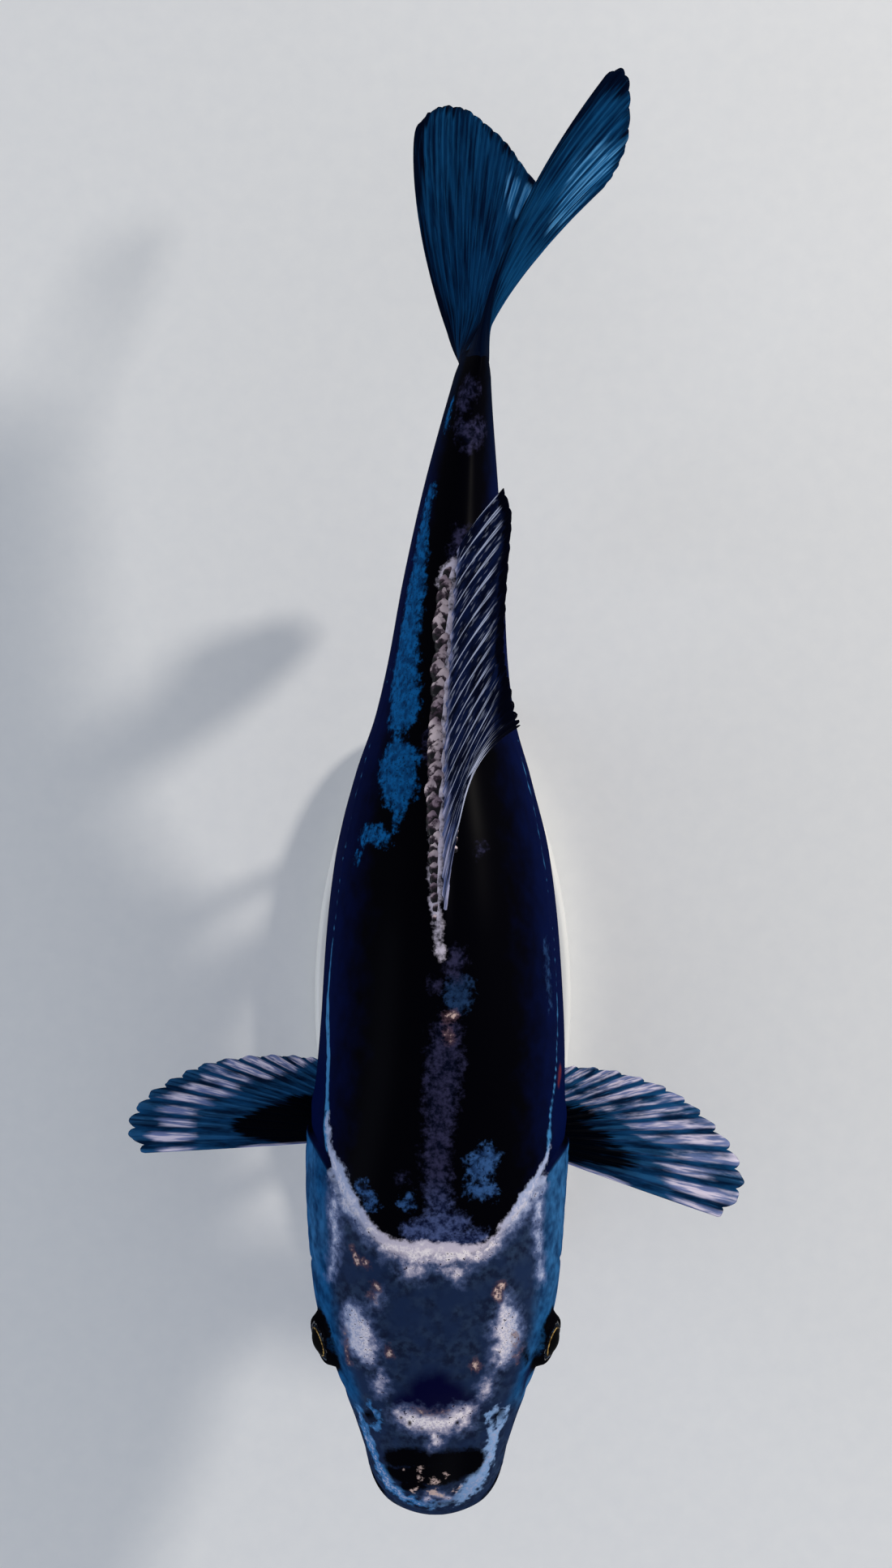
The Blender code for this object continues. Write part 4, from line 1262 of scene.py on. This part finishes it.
def base_fin_place(base, reach_table, top):
    """place(t, v) for a fin that stands along the body's back (top 1) or belly (top -1)."""
    back_of, side_of, up_of = (column(reach_table, n) for n in (1, 2, 3))

    def place(t, v):
        along = base[0] + (base[1] - base[0]) * t
        root = on_body(along, np.full_like(along, top * math.pi / 2))
        rise = np.sin(np.clip(v, 0, 1) * math.pi / 2) ** 0.9
        first = 1 - ease(t / 0.34)
        out = np.maximum(v, 0.0)
        curl = (0.45 * out**1.3 + 0.55 * out**8) * first + out**1.3 * (1 - first)
        offset = stacked(side_of(t) * curl, back_of(t) * v, up_of(t) * rise) * BODY_LENGTH
        return root + offset + stacked(0.0, 0.0, top * ROOT_DEPTH * (np.minimum(1.0, 4 * v) - 1))

    return place


tail_back_at, tail_side_at, tail_up_at = (column(TAIL_REACH, n) for n in (1, 2, 3))


def tail_place(t, v):
    """place(t, v) for the tail fin: low rays spread at once, and high ones only near their tips."""
    low, high = belly_at(1.0), back_at(1.0)
    root = axis_point(1.0) + stacked(
        (t - 0.5) * TAIL_ROOT_ROLL, -0.004, low + (high - low) * t
    ) * BODY_LENGTH
    v = np.clip(v, 0, 1)
    bulge = TAIL_BULGE * np.maximum(0.0, 1 - t / TAIL_BULGE_END) ** 2 * np.sin(math.pi * v) ** 0.6
    offset = stacked(
        tail_side_at(t) * v ** (1 + 0.75 * t) + bulge, tail_back_at(t) * v, tail_up_at(t) * v**1.2
    )
    return root + offset * BODY_LENGTH


def paired_fin_place(fin, label):
    """place(t, v) for a fin fanned out from the lower flank: lead turns the first ray from straight out."""
    side = 1 if label == "left" else -1
    sweep_of, reach_of = column(fin["fan"], 1), column(fin["fan"], 2)
    angle = math.radians(fin["root"][1]) if side > 0 else math.pi - math.radians(fin["root"][1])
    lead, spread = fin["lead"][label], fin["spread"][label]

    def place(t, v):
        along = fin["root"][0] + (t - 0.5) * fin["width"]
        angles = np.full_like(along, angle)
        root = on_body(along, angles) - body_normal(along, angles) * (ROOT_DEPTH * 1.3)
        turn = np.radians(lead + sweep_of(t) * spread)
        way = stacked(np.cos(turn) * side, np.sin(turn), -fin["droop"] * (1 - 0.35 * t))
        camber = 0.012 * np.sin(np.clip(v, 0, 1) * math.pi) * np.sin(math.pi * (0.2 + 0.7 * t))
        return root + (way * (reach_of(t) * v)[..., None] + stacked(0.0, 0.0, camber)) * BODY_LENGTH

    return place


# %% One fin as a closed sheet with rays
COLUMNS_PER_RAY = 14
FIN_ROWS = 88
EDGE_ROUND = 0.30
TIP_ROUND = 0.03


def ray_ridges(off, v, fork_width):
    """1 on a ray and 0 between two. off is the distance from the nearest ray, which forks twice as v
    grows."""
    fork = fork_width * ease((v - 0.38) / 0.45)
    twig = 0.42 * fork_width * ease((v - 0.72) / 0.25)
    width = 0.150 - 0.075 * (fork_width / 0.24) * ease((v - 0.3) / 0.6)
    stems = [hill((off - a * fork - b * twig) / width) for a in (-1, 1) for b in (-1, 1)]
    return np.max(stems, axis=0)


def add_fin(name, node_name, rays, place, finish, zones, span=(0.0, 1.0), flesh=0.0030, flesh_end=0.2,
            scallop=0.05, pleat=0.0002, fork=0.24, seed=1, oval_root=False):
    """A fin piece. zones(t, v) gives its attributes for colour: dark, pale and line, each up to about 1."""
    half_columns = (rays - 1) * COLUMNS_PER_RAY
    rough = np.random.default_rng(seed).uniform(-1, 1, 4 * rays)

    def parts(u):
        t = np.where(u <= 0.5, 2 * u, 2 - 2 * u)
        number = t * (rays - 1)
        return t, number, number - np.round(number)

    def middle(t, v):
        return place(span[0] + (span[1] - span[0]) * t, v)

    def lay(u, v):
        t, number, off = parts(u)
        notch = 1 - np.abs(np.cos(math.pi * off)) ** 0.7
        fray = np.interp(
            number * 3.7, np.arange(4 * rays), rough
        ) * 0.006 + np.interp(number, np.arange(4 * rays), rough) * 0.010
        reach = v * (1 - scallop * notch * ease(v / 0.9) - np.abs(fray) * v * min(1.0, 20 * scallop))
        step = 0.003
        along = middle(t, reach + step) - middle(t, reach - step)
        inner = np.clip(t, step, 1 - step)
        over = middle(inner + step, reach) - middle(inner - step, reach)
        normal = unit(np.cross(over, along))
        ridge = ray_ridges(off, v, fork)
        fleshy = 1 - ease(v / flesh_end)
        height = 2 * (span[0] + (span[1] - span[0]) * t) - 1
        full = flesh * np.sqrt(np.maximum(0.04, 1 - height**2)) if oval_root else flesh
        web = 0.00022 + 0.00034 * (1 - v) ** 2
        thick = web + ridge * (0.00022 + 0.00062 * (1 - v) ** 1.5)
        thick = thick + (full - thick) * fleshy
        edge = np.maximum(
            np.minimum(number, rays - 1 - number) / EDGE_ROUND, 1.3 * fleshy - 0.3 if oval_root else 0.0
        )
        thick = thick * np.sqrt(1 - (1 - np.minimum(edge, 1)) ** 2)
        thick = thick * np.sqrt(1 - np.maximum(0, (v - 1 + TIP_ROUND) / TIP_ROUND) ** 2) * ease(v / 0.0004)
        fold = pleat * ease(v / 0.5) * np.sin(math.tau * (number + 0.12 * np.sin(math.tau * number)))
        side = np.where((u <= 0.5) | (u == 1.0), 1.0, -1.0)
        return middle(t, reach) + normal * (side * thick / 2 + fold)[:, None]

    mesh = grid_mesh(name, 2 * half_columns, FIN_ROWS, lay)
    turn, reach = np.empty(len(mesh.vertices), np.float32), np.empty(len(mesh.vertices), np.float32)
    mesh.attributes["turn"].data.foreach_get("value", turn)
    mesh.attributes["reach"].data.foreach_get("value", reach)
    t, number, off = parts(turn)
    band = hill((np.abs(off) - 0.5) / 0.20) * ease(reach / 0.3)
    values = {"ray": ray_ridges(off, reach, fork), "gap": band, "number": number, **zones(t, reach)}
    store(mesh, values)
    piece = link(name, mesh, finish)
    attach(piece, "root")
    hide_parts(node_name)
    return piece


# %% [markdown]
# The colours of a fin run along its rays: a dark root, smoky membranes, pearl streaks where the pigment is
# missing, and dark tips. Noise stretched along the rays breaks them up. The fine cross bars on the ridges
# are the joints of the rays, about 0.6 mm apart on a fish of this size.

# %% Finish of the fins
def fin_finish(name, web, ray, pale, dark, line_strength, line_width, fork):
    """Thin wet membrane over bony rays: satin, a little clearer than the body's skin."""
    made, add = start_material(
        name, Roughness=0.42, Specular_IOR_Level=0.0, Coat_Weight=0.025, Coat_Roughness=0.20
    )
    number, reach, ridge = (add("painted", attribute_name=key) for key in ("number", "reach", "ray"))

    def along_rays(stretch, scale, detail, roughness=0.5, layer=0.0):
        """Noise over the rays' numbers and the reach along them."""
        run = add("run", number, add("MULTIPLY", reach, stretch), layer)
        return add("noise", run, scale, detail, roughness)

    streaks = along_rays(3.0, 1.3, 4.0, 0.6)
    threads = along_rays(1.2, 5.5, 2.0)
    colour = add("mix", add("step", streaks, 0.35, 0.65), web[0], web[1])
    colour = add("mix", add("step", threads, 0.56, 0.70, 0.0, 0.35), colour, ray)
    beside = add("ABSOLUTE", add("SUBTRACT", number, add("ROUND", number)))
    from_stem = add("ABSOLUTE", add("SUBTRACT", beside, add("step", reach, 0.38, 0.83, 0.0, fork)))
    crest = add("step", from_stem, line_width, 0.4 * line_width)
    lines = add("MULTIPLY", add("MULTIPLY", crest, add("painted", attribute_name="line")), line_strength)
    lines = add("MULTIPLY", lines, add("step", streaks, 0.30, 0.55, 0.6, 1.0))
    colour = add("mix", lines, colour, ray)
    patches = along_rays(7.0, 0.42, 2.0, layer=4.0)
    shift = add("MULTIPLY_ADD", patches, 1.6, add("MULTIPLY_ADD", streaks, 1.5, -1.55))
    ragged = add("MULTIPLY_ADD", threads, 1.4, add("SUBTRACT", shift, 0.70))
    dark_here = add("step", add("ADD", add("painted", attribute_name="dark"), ragged), -0.15, 0.35)
    colour = add("mix", dark_here, colour, dark)
    pale_here = add("step", add("ADD", add("painted", attribute_name="pale"), shift), -0.10, 0.45)
    on_ridge = add("MULTIPLY", pale_here, add("step", add("painted", attribute_name="gap"), 0.75, 0.2))
    on_ridge = add("MULTIPLY", on_ridge, add("step", ridge, 0.0, 0.5, 0.45, 1.0))
    colour = add("mix", on_ridge, colour, pale[0])
    bright = add("MULTIPLY", on_ridge, add("step", threads, 0.42, 0.62))
    colour = add("mix", bright, colour, pale[1])
    joints = add("MULTIPLY", add("SINE", add("MULTIPLY", reach, 420.0)), ridge)
    bump = add("bump", 0.4, 0.00010, add("MULTIPLY_ADD", joints, 0.12, threads))
    return finished(made, Base_Color=colour, Normal=bump)


PAIRED_FINISH = fin_finish(
    "pearl streaked fin membrane", ("#051b36", "#134673"), "#2f6695", ("#7480ad", "#dad1e3"), "#01030b",
    0.40, 0.16, 0.15
)
DORSAL_FINISH = fin_finish(
    "smoky dorsal membrane", ("#04081b", "#0d1839"), "#b9bfd6", ("#4f5c86", "#a9a6bf"), "#02030e", 1.0,
    0.085, 0.11
)
TAIL_FINISH = fin_finish(
    "blue black tail membrane", ("#021a38", "#093a63"), "#1c5c8c", ("#1d5f92", "#5b9ccc"), STALK, 0.35,
    0.14, 0.24
)


# %% Pectoral and pelvic fins
def zone(t, v, start, end, softness=0.12):
    """How far v is inside the stretch from start(t) to end(t), as about 1 well inside and below 0 outside."""
    return np.clip(np.minimum(v - start(t), end(t) - v) / softness, -2, 1)


def leading_line(t, v):
    """The pale line along the inner half of a fin's first ray."""
    return 2.4 * hill(t / 0.034) * hill((v - 0.30) / 0.24) - 0.8


def right_pectoral_zones(t, v):
    root_end = through(((0, 0.34), (0.08, 0.50), (0.2, 0.58), (0.45, 0.48), (0.7, 0.30), (1, 0.16)))
    start = through(
        ((0, 0.80), (0.08, 0.72), (0.24, 0.68), (0.5, 0.64), (0.72, 0.62), (0.84, 0.76), (1, 1.10))
    )
    end = through(((0, 0.92), (0.3, 0.92), (0.5, 0.95), (0.7, 1.02), (1, 1.02)))
    dark = zone(t, v, lambda t: -1.0, root_end, 0.12) + 1.4 * hill((v - 1.0) / 0.06) * (t < 0.55) - 0.15
    pale = np.maximum(np.minimum(zone(t, v, start, end, 0.18), 0.40), leading_line(t, v))
    return {"dark": dark, "pale": pale, "line": 0.4 + 0.6 * v}


def left_pectoral_zones(t, v):
    root_end = through(((0, 0.40), (0.2, 0.56), (0.5, 0.56), (0.7, 0.38), (0.85, 0.12), (1, 0.05)))
    start = through(((0, 0.80), (0.15, 0.58), (0.4, 0.50), (0.65, 0.44), (0.8, 0.20), (1, 0.10)))
    tips = hill((v - 1.0) / 0.07) * np.maximum(np.sin(t * 34.0) > 0.4, t < 0.16)
    dark = zone(t, v, lambda t: -1.0, root_end, 0.30) + 1.5 * tips - 0.16
    pale = np.maximum(np.minimum(zone(t, v, start, lambda t: 1.05 + 0 * t, 0.22), 0.28), leading_line(t, v))
    return {"dark": dark, "pale": pale, "line": 0.5 + 0.5 * v}


def pelvic_zones(t, v):
    root_end = through(((0, 0.35), (0.4, 0.45), (1, 0.25)))
    start = through(((0, 0.60), (0.5, 0.52), (1, 0.45)))
    return {
        "dark": zone(t, v, lambda t: -1.0, root_end, 0.2) - 0.2,
        "pale": zone(t, v, start, lambda t: 1.0 + 0 * t), "line": v
    }


PECTORAL_ZONES = {"left": left_pectoral_zones, "right": right_pectoral_zones}
for number, label in enumerate(("left", "right")):
    add_fin(
        f"koi_pectoral_fin_{label}", f"pectoral_fin_{label}", 14, paired_fin_place(PECTORAL, label),
        PAIRED_FINISH,
        PECTORAL_ZONES[label], flesh=0.0034, flesh_end=0.24, scallop=0.036, pleat=0.00035, fork=0.15,
        seed=3 + number,
    )
    add_fin(
        f"koi_pelvic_fin_{label}", f"pelvic_fin_{label}", 9, paired_fin_place(PELVIC, label), PAIRED_FINISH,
        pelvic_zones, flesh=0.0028, flesh_end=0.22, scallop=0.06, fork=0.16, seed=7 + number,
    )
print("paired fins: 4")


# %% Dorsal, anal and tail fins
def dorsal_zones(t, v):
    pale_end = through(((0, 0.50), (0.1, 0.42), (0.25, 0.32), (0.6, 0.24), (0.85, 0.20), (1, 0.20)))
    line_start = through(((0, 0.05), (0.2, 0.10), (0.5, 0.18), (1, 0.16)))
    line_end = through(((0, 1.05), (0.1, 0.92), (0.4, 0.84), (0.8, 0.86), (1, 1.0)))
    smoke = hill((t - 0.92) / 0.12) * 0.5
    pale = zone(t, v, lambda t: -1.0, pale_end, 0.16) - 0.35 + smoke
    dark = zone(t, v, lambda t: 0.86 + 0 * t, lambda t: 1.2 + 0 * t, 0.1) - 0.35
    return {"dark": dark, "pale": pale, "line": np.clip(zone(t, v, line_start, line_end, 0.10), 0, 1)}


def anal_zones(t, v):
    return {
        "dark": zone(t, v, lambda t: -1.0, lambda t: 0.35 + 0 * t, 0.2) - 0.3, "pale": v - 0.9,
        "line": 0.3 + 0.5 * v
    }


def tail_zones(light_at, light_size, dark_width):
    """Zones of one lobe: light_at is the middle of its pale patch over the rays and out along them."""

    def zones(t, v):
        rims = np.maximum(hill(t / dark_width), hill((t - 1) / dark_width)) + 0.9 * hill((v - 1) / 0.07)
        root = np.maximum(1 - ease(v / 0.10), 0.62 * (1 - ease(v / 0.50)))
        dark = 1.1 * rims + 1.9 * root - 0.85
        pale = 1.5 * hill(
            (t - light_at[0]) / light_size[0]
        ) * hill((v - light_at[1]) / light_size[1]) - 0.75
        return {"dark": dark, "pale": pale, "line": 0.5 + 0.5 * v}

    return zones


add_fin(
    "koi_dorsal_fin", "dorsal_fin", 18, base_fin_place(DORSAL_BASE, DORSAL_REACH, 1), DORSAL_FINISH,
    dorsal_zones,
    flesh=0.0018, flesh_end=0.12, scallop=0.014, pleat=0.00012, fork=0.11, seed=11,
)
add_fin(
    "koi_anal_fin", "anal_fin", 8, base_fin_place(ANAL_BASE, ANAL_REACH, -1), DORSAL_FINISH, anal_zones,
    flesh=0.0020, flesh_end=0.2, scallop=0.04, fork=0.11, seed=12,
)
TAIL_LOBES = {
    "lower": ((0.0, 0.506), tail_zones((0.82, 0.86), (0.16, 0.12), 0.10), 13),
    "upper": ((0.496, 1.0), tail_zones((0.60, 0.78), (0.22, 0.22), 0.12), 14),
}
for label, (span, zones, seed) in TAIL_LOBES.items():
    add_fin(
        f"koi_tail_fin_{label}", f"tail_fin_{label}", 15, tail_place, TAIL_FINISH, zones, span=span,
        flesh=1.84 * half_width_at(1.0) * BODY_LENGTH, flesh_end=0.24, scallop=0.007, pleat=0.00014,
        seed=seed, oval_root=True,
    )
print("fins along the body: 4")

# %% [markdown]
# ## Scales beside the dorsal fin
# A koi of this breed keeps one row of large scales each side of the dorsal fin. One scale is modelled: a
# shield, domed, with its root sunk in the skin and its free edge lifted. It is then repeated along the row.
# Each scale's patch on the bake map lies at its root's angle round the body and its place along it.

# %% Scales
SCALE_ROWS = {"right": (-0.0058, 0.518, 0.806), "left": (0.0095, 0.575, 0.800)}
SCALE_SPACING_MM = 1.8
SCALE_WIDTH_MM = 3.9
SCALE_LENGTH_MM = 4.0
SCALE_THICKNESS_MM = 0.22
BAKE_PATCH = 0.003


def one_scale():
    """A scale at the origin, 1 across and 1 long, rooted at y 0 with its free edge at y 1."""

    def lay(u, v):
        x = u - 0.5
        half = 0.5 * np.sqrt(np.clip(1 - ((v - 0.42) / 0.60) ** 2, 0.02, 1))
        dome = 0.16 * (1 - (2 * x) ** 2) + 0.10 * v
        ribs = 0.012 * np.sin(x * 26) * v
        return stacked(x * 2 * half, v, dome + ribs - 0.08)

    bm = bmesh.new()
    bmesh.ops.create_grid(bm, x_segments=6, y_segments=6, size=0.5)
    flat = np.array([vert.co[:2] for vert in bm.verts]) + 0.5
    for vert, place in zip(bm.verts, lay(flat[:, 0], flat[:, 1])):
        vert.co = place
    bmesh.ops.recalc_face_normals(bm, faces=bm.faces)
    bmesh.ops.solidify(bm, geom=bm.faces[:], thickness=SCALE_THICKNESS_MM / SCALE_WIDTH_MM)
    reach = bm.verts.layers.float.new("reach")
    for vert in bm.verts:
        vert[reach] = vert.co.y
    mesh = bpy.data.meshes.new("one_scale")
    bm.to_mesh(mesh)
    bm.free()
    return mesh


def scale_frame(place, across):
    """Where a scale is rooted, and the three directions of its own axes."""
    angle = angle_above(place, across)
    rise = float(rise_of(angle))
    out = float(body_folds(np.array(place), np.array(rise), np.array(across))) + 0.0001
    root = on_body(np.array(place), angle, out)
    normal = body_normal(np.array(place), angle)
    back = unit(on_body(np.array(place + 0.01), angle) - on_body(np.array(place - 0.01), angle))
    return Vector(root), Vector(normal), Vector(back), float(angle)


def scale_finish():
    """Pearly scale: a shiny plate, rosy white at its free edge, with black pigment gathered at its root."""
    made, add = start_material(
        "pearly scale", Roughness=0.40, Specular_IOR_Level=0.15, Coat_Weight=0.08, Coat_Roughness=0.15
    )
    fleck = speckle(add, 1.5, 3.0)
    wide = speckle(add, 7.0, 2.0)
    reach = add(
        "MULTIPLY_ADD", fleck, 1.6, add("MULTIPLY_ADD", wide, 0.8, add("painted", attribute_name="reach"))
    )
    colour = add("mix", add("step", wide, 0.35, 0.62), "#8c7783", "#d6c3c6")
    colour = add("mix", add("step", reach, 1.98, 1.72), colour, "#3a2b36")
    colour = add("mix", add("step", reach, 1.74, 1.50), colour, "#08060c")
    return finished(made, Base_Color=colour)


def add_scale_row(label, across, first, last, finish):
    template = one_scale()
    bm = bmesh.new()
    count = int((last - first) * BODY_LENGTH / MM / SCALE_SPACING_MM)
    bake = bm.loops.layers.uv.new("OFBake")
    rng = np.random.default_rng(21 if across > 0 else 22)
    for place in np.linspace(first, last, count):
        jitter = rng.uniform(-1, 1, 3)
        root, normal, back, angle = scale_frame(place, across + 0.0007 * jitter[0])
        ends = min(1.0, 0.35 + 0.65 * (place - first) / 0.09, 0.6 + 0.4 * (last - place) / 0.02)
        size = np.array(
            [SCALE_WIDTH_MM, SCALE_LENGTH_MM, 0.8 * SCALE_WIDTH_MM]
        ) * MM * ends * (1 + 0.14 * jitter[1])
        over = back.cross(normal).normalized()
        turned = (back + over * 0.22 * jitter[2]).normalized()
        over = turned.cross(normal).normalized()
        before, faces_before = len(bm.verts), len(bm.faces)
        bm.from_mesh(template)
        bm.verts.ensure_lookup_table()
        bm.faces.ensure_lookup_table()
        patch = BAKE_PATCH * np.array([-0.5, 0.0])
        for face in bm.faces[faces_before:]:
            for loop in face.loops:
                spot = np.array([loop.vert.co.x + 0.5, loop.vert.co.y]) * BAKE_PATCH + patch
                loop[bake].uv = (angle / math.tau + spot[0], place + spot[1])
        for vert in bm.verts[before:]:
            x, y, z = np.array(vert.co) * size
            vert.co = root + over * x + turned * y + normal * z
    mesh = mesh_from(bm, f"koi_scales_{label}")
    row = link(f"koi_scales_{label}", mesh, finish)
    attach(row, "root")
    return count


SCALE_FINISH = scale_finish()
print("scales:", {label: add_scale_row(label, *row, SCALE_FINISH) for label, row in SCALE_ROWS.items()})

# %% [markdown]
# ## Display stand
# A museum would carry so light a model on two thin steel rods, turned with a foot at the bottom and a
# saddle under the belly, over an oval base lacquered white. The base is a disc drawn out to an oval,
# raised and bevelled; a rod is a profile spun round its axis.

# %% Base
BASE_SIDES = 128
BASE_RIM = 0.0016
base_low, base_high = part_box("stand_base")


def lacquer_finish():
    """Satin white lacquer on maple: smooth, with the grain just felt through it, drawn at 1.5 mm to show."""
    made, add = start_material(
        "white satin lacquered maple", Roughness=0.42, Coat_Weight=0.25, Coat_Roughness=0.25
    )
    grain = speckle(add, 1.5, 4.0, stretch=(1.0, 0.08, 1.0))
    shade = add("mix", grain, "#d6d6d3", "#e6e6e3")
    return finished(made, Base_Color=shade, Normal=add("bump", 0.15, 0.0001, grain))


def oval_base():
    bm = bmesh.new()
    rim = bmesh.ops.create_circle(bm, cap_ends=True, segments=BASE_SIDES, radius=0.5)["verts"]
    size = np.subtract(base_high, base_low)
    bmesh.ops.scale(bm, verts=rim, vec=(size[0], size[1], 1))
    pushed = bmesh.ops.extrude_face_region(bm, geom=list(bm.faces))["geom"]
    moved = [item for item in pushed if isinstance(item, bmesh.types.BMVert)]
    bmesh.ops.translate(bm, verts=moved, vec=(0, 0, size[2]))
    sharp = [edge for edge in bm.edges if edge.calc_face_angle(0) > math.radians(60)]
    bmesh.ops.bevel(bm, geom=sharp, offset=BASE_RIM, segments=5, profile=0.5, affect="EDGES", material=-1)
    centre = (Vector(base_low) + Vector(base_high)) / 2
    bmesh.ops.translate(bm, verts=bm.verts, vec=(centre.x, centre.y, base_low[2]))
    return mesh_from(bm, "display_base")


base = link("display_base", oval_base(), lacquer_finish())
base.data.set_sharp_from_angle(angle=math.radians(40))
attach(base, "root")
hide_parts("stand_base")
print("base, mm:", [round(float(c) * 1000, 1) for c in np.subtract(base_high, base_low)])

# %% Rods
ROD_RADIUS = 0.0020
COLLAR_RADIUS = 0.0042
COLLAR_HEIGHT = 0.0016
SADDLE_RADIUS = 0.0046
SADDLE_HEIGHT = 0.0030
ROD_PLACES = {"front": 0.360, "rear": 0.620}
FILLET_POINTS = 6


def steel_finish():
    """Brushed stainless steel: fine rings left by turning, drawn at 0.25 mm so that they show."""
    made, add = start_material("brushed stainless steel", Metallic=1.0, Roughness=0.3)
    rings = speckle(add, 0.25, 1.0, stretch=(0.1, 0.1, 1.0))
    shade = add("mix", rings, "#a9aaac", "#c9cacb")
    return finished(made, Base_Color=shade, Roughness=add("step", rings, 0.3, 0.7, 0.24, 0.36))


def fillet(start, end):
    """A quarter round from one (radius, height) to another that leaves the first straight up or out."""
    turn = np.linspace(0, math.pi / 2, FILLET_POINTS)
    return [
        (start[0] + (end[0] - start[0]) * np.sin(a), start[1] + (end[1] - start[1]) * (1 - np.cos(a)))
        for a in turn
    ]


def add_rod(label, place_on, finish):
    foot = axis_point(np.array(place_on))
    bottom = float(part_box(f"stand_rod_{label}")[0][2])
    belly = AXIS_HEIGHT + float(belly_at(math.sqrt(place_on))) * BODY_LENGTH
    top = belly + 0.0010
    profile = [(0.0, bottom), (COLLAR_RADIUS - 0.0003, bottom), (COLLAR_RADIUS, bottom + 0.0003)]
    profile += [(COLLAR_RADIUS, bottom + 0.0006)]
    profile += fillet((COLLAR_RADIUS - 0.0002, bottom + 0.0009), (ROD_RADIUS, bottom + 2 * COLLAR_HEIGHT))
    profile += [(ROD_RADIUS, belly - SADDLE_HEIGHT)]
    profile += fillet((ROD_RADIUS, belly - SADDLE_HEIGHT), (SADDLE_RADIUS, belly - SADDLE_HEIGHT / 3))[1:]
    profile += [(SADDLE_RADIUS, top - 0.0004), (SADDLE_RADIUS - 0.0004, top), (0.0, top)]
    bm = bmesh.new()
    points = [bm.verts.new((foot[0] + r, foot[1], z)) for r, z in profile]
    line = [bm.edges.new(pair) for pair in zip(points, points[1:])]
    bmesh.ops.spin(
        bm, geom=points + line, axis=(0, 0, 1), cent=(foot[0], foot[1], 0), angle=math.tau, steps=56,
        use_merge=True
    )
    bmesh.ops.remove_doubles(bm, verts=bm.verts, dist=1e-6)
    mesh = mesh_from(bm, f"display_rod_{label}")
    rod = link(f"display_rod_{label}", mesh, finish)
    mesh.set_sharp_from_angle(angle=math.radians(50))
    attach(rod, "root")
    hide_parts(f"stand_rod_{label}")


STEEL = steel_finish()
for label, place_on in ROD_PLACES.items():
    add_rod(label, place_on, STEEL)
print("rods:", len(ROD_PLACES))

# %% [markdown]
# ## Sizes and the end
# The dressed model has to stay the size of the solids. How far its box reaches beyond the solids' box is
# printed.

# %% Finish
visual_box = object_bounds()
growth = [[round((v - c) * 1000, 2) for v, c in zip(*pair)] for pair in zip(visual_box, cad_box)]
print("beyond the solids' box, mm, low then high corner:", growth)
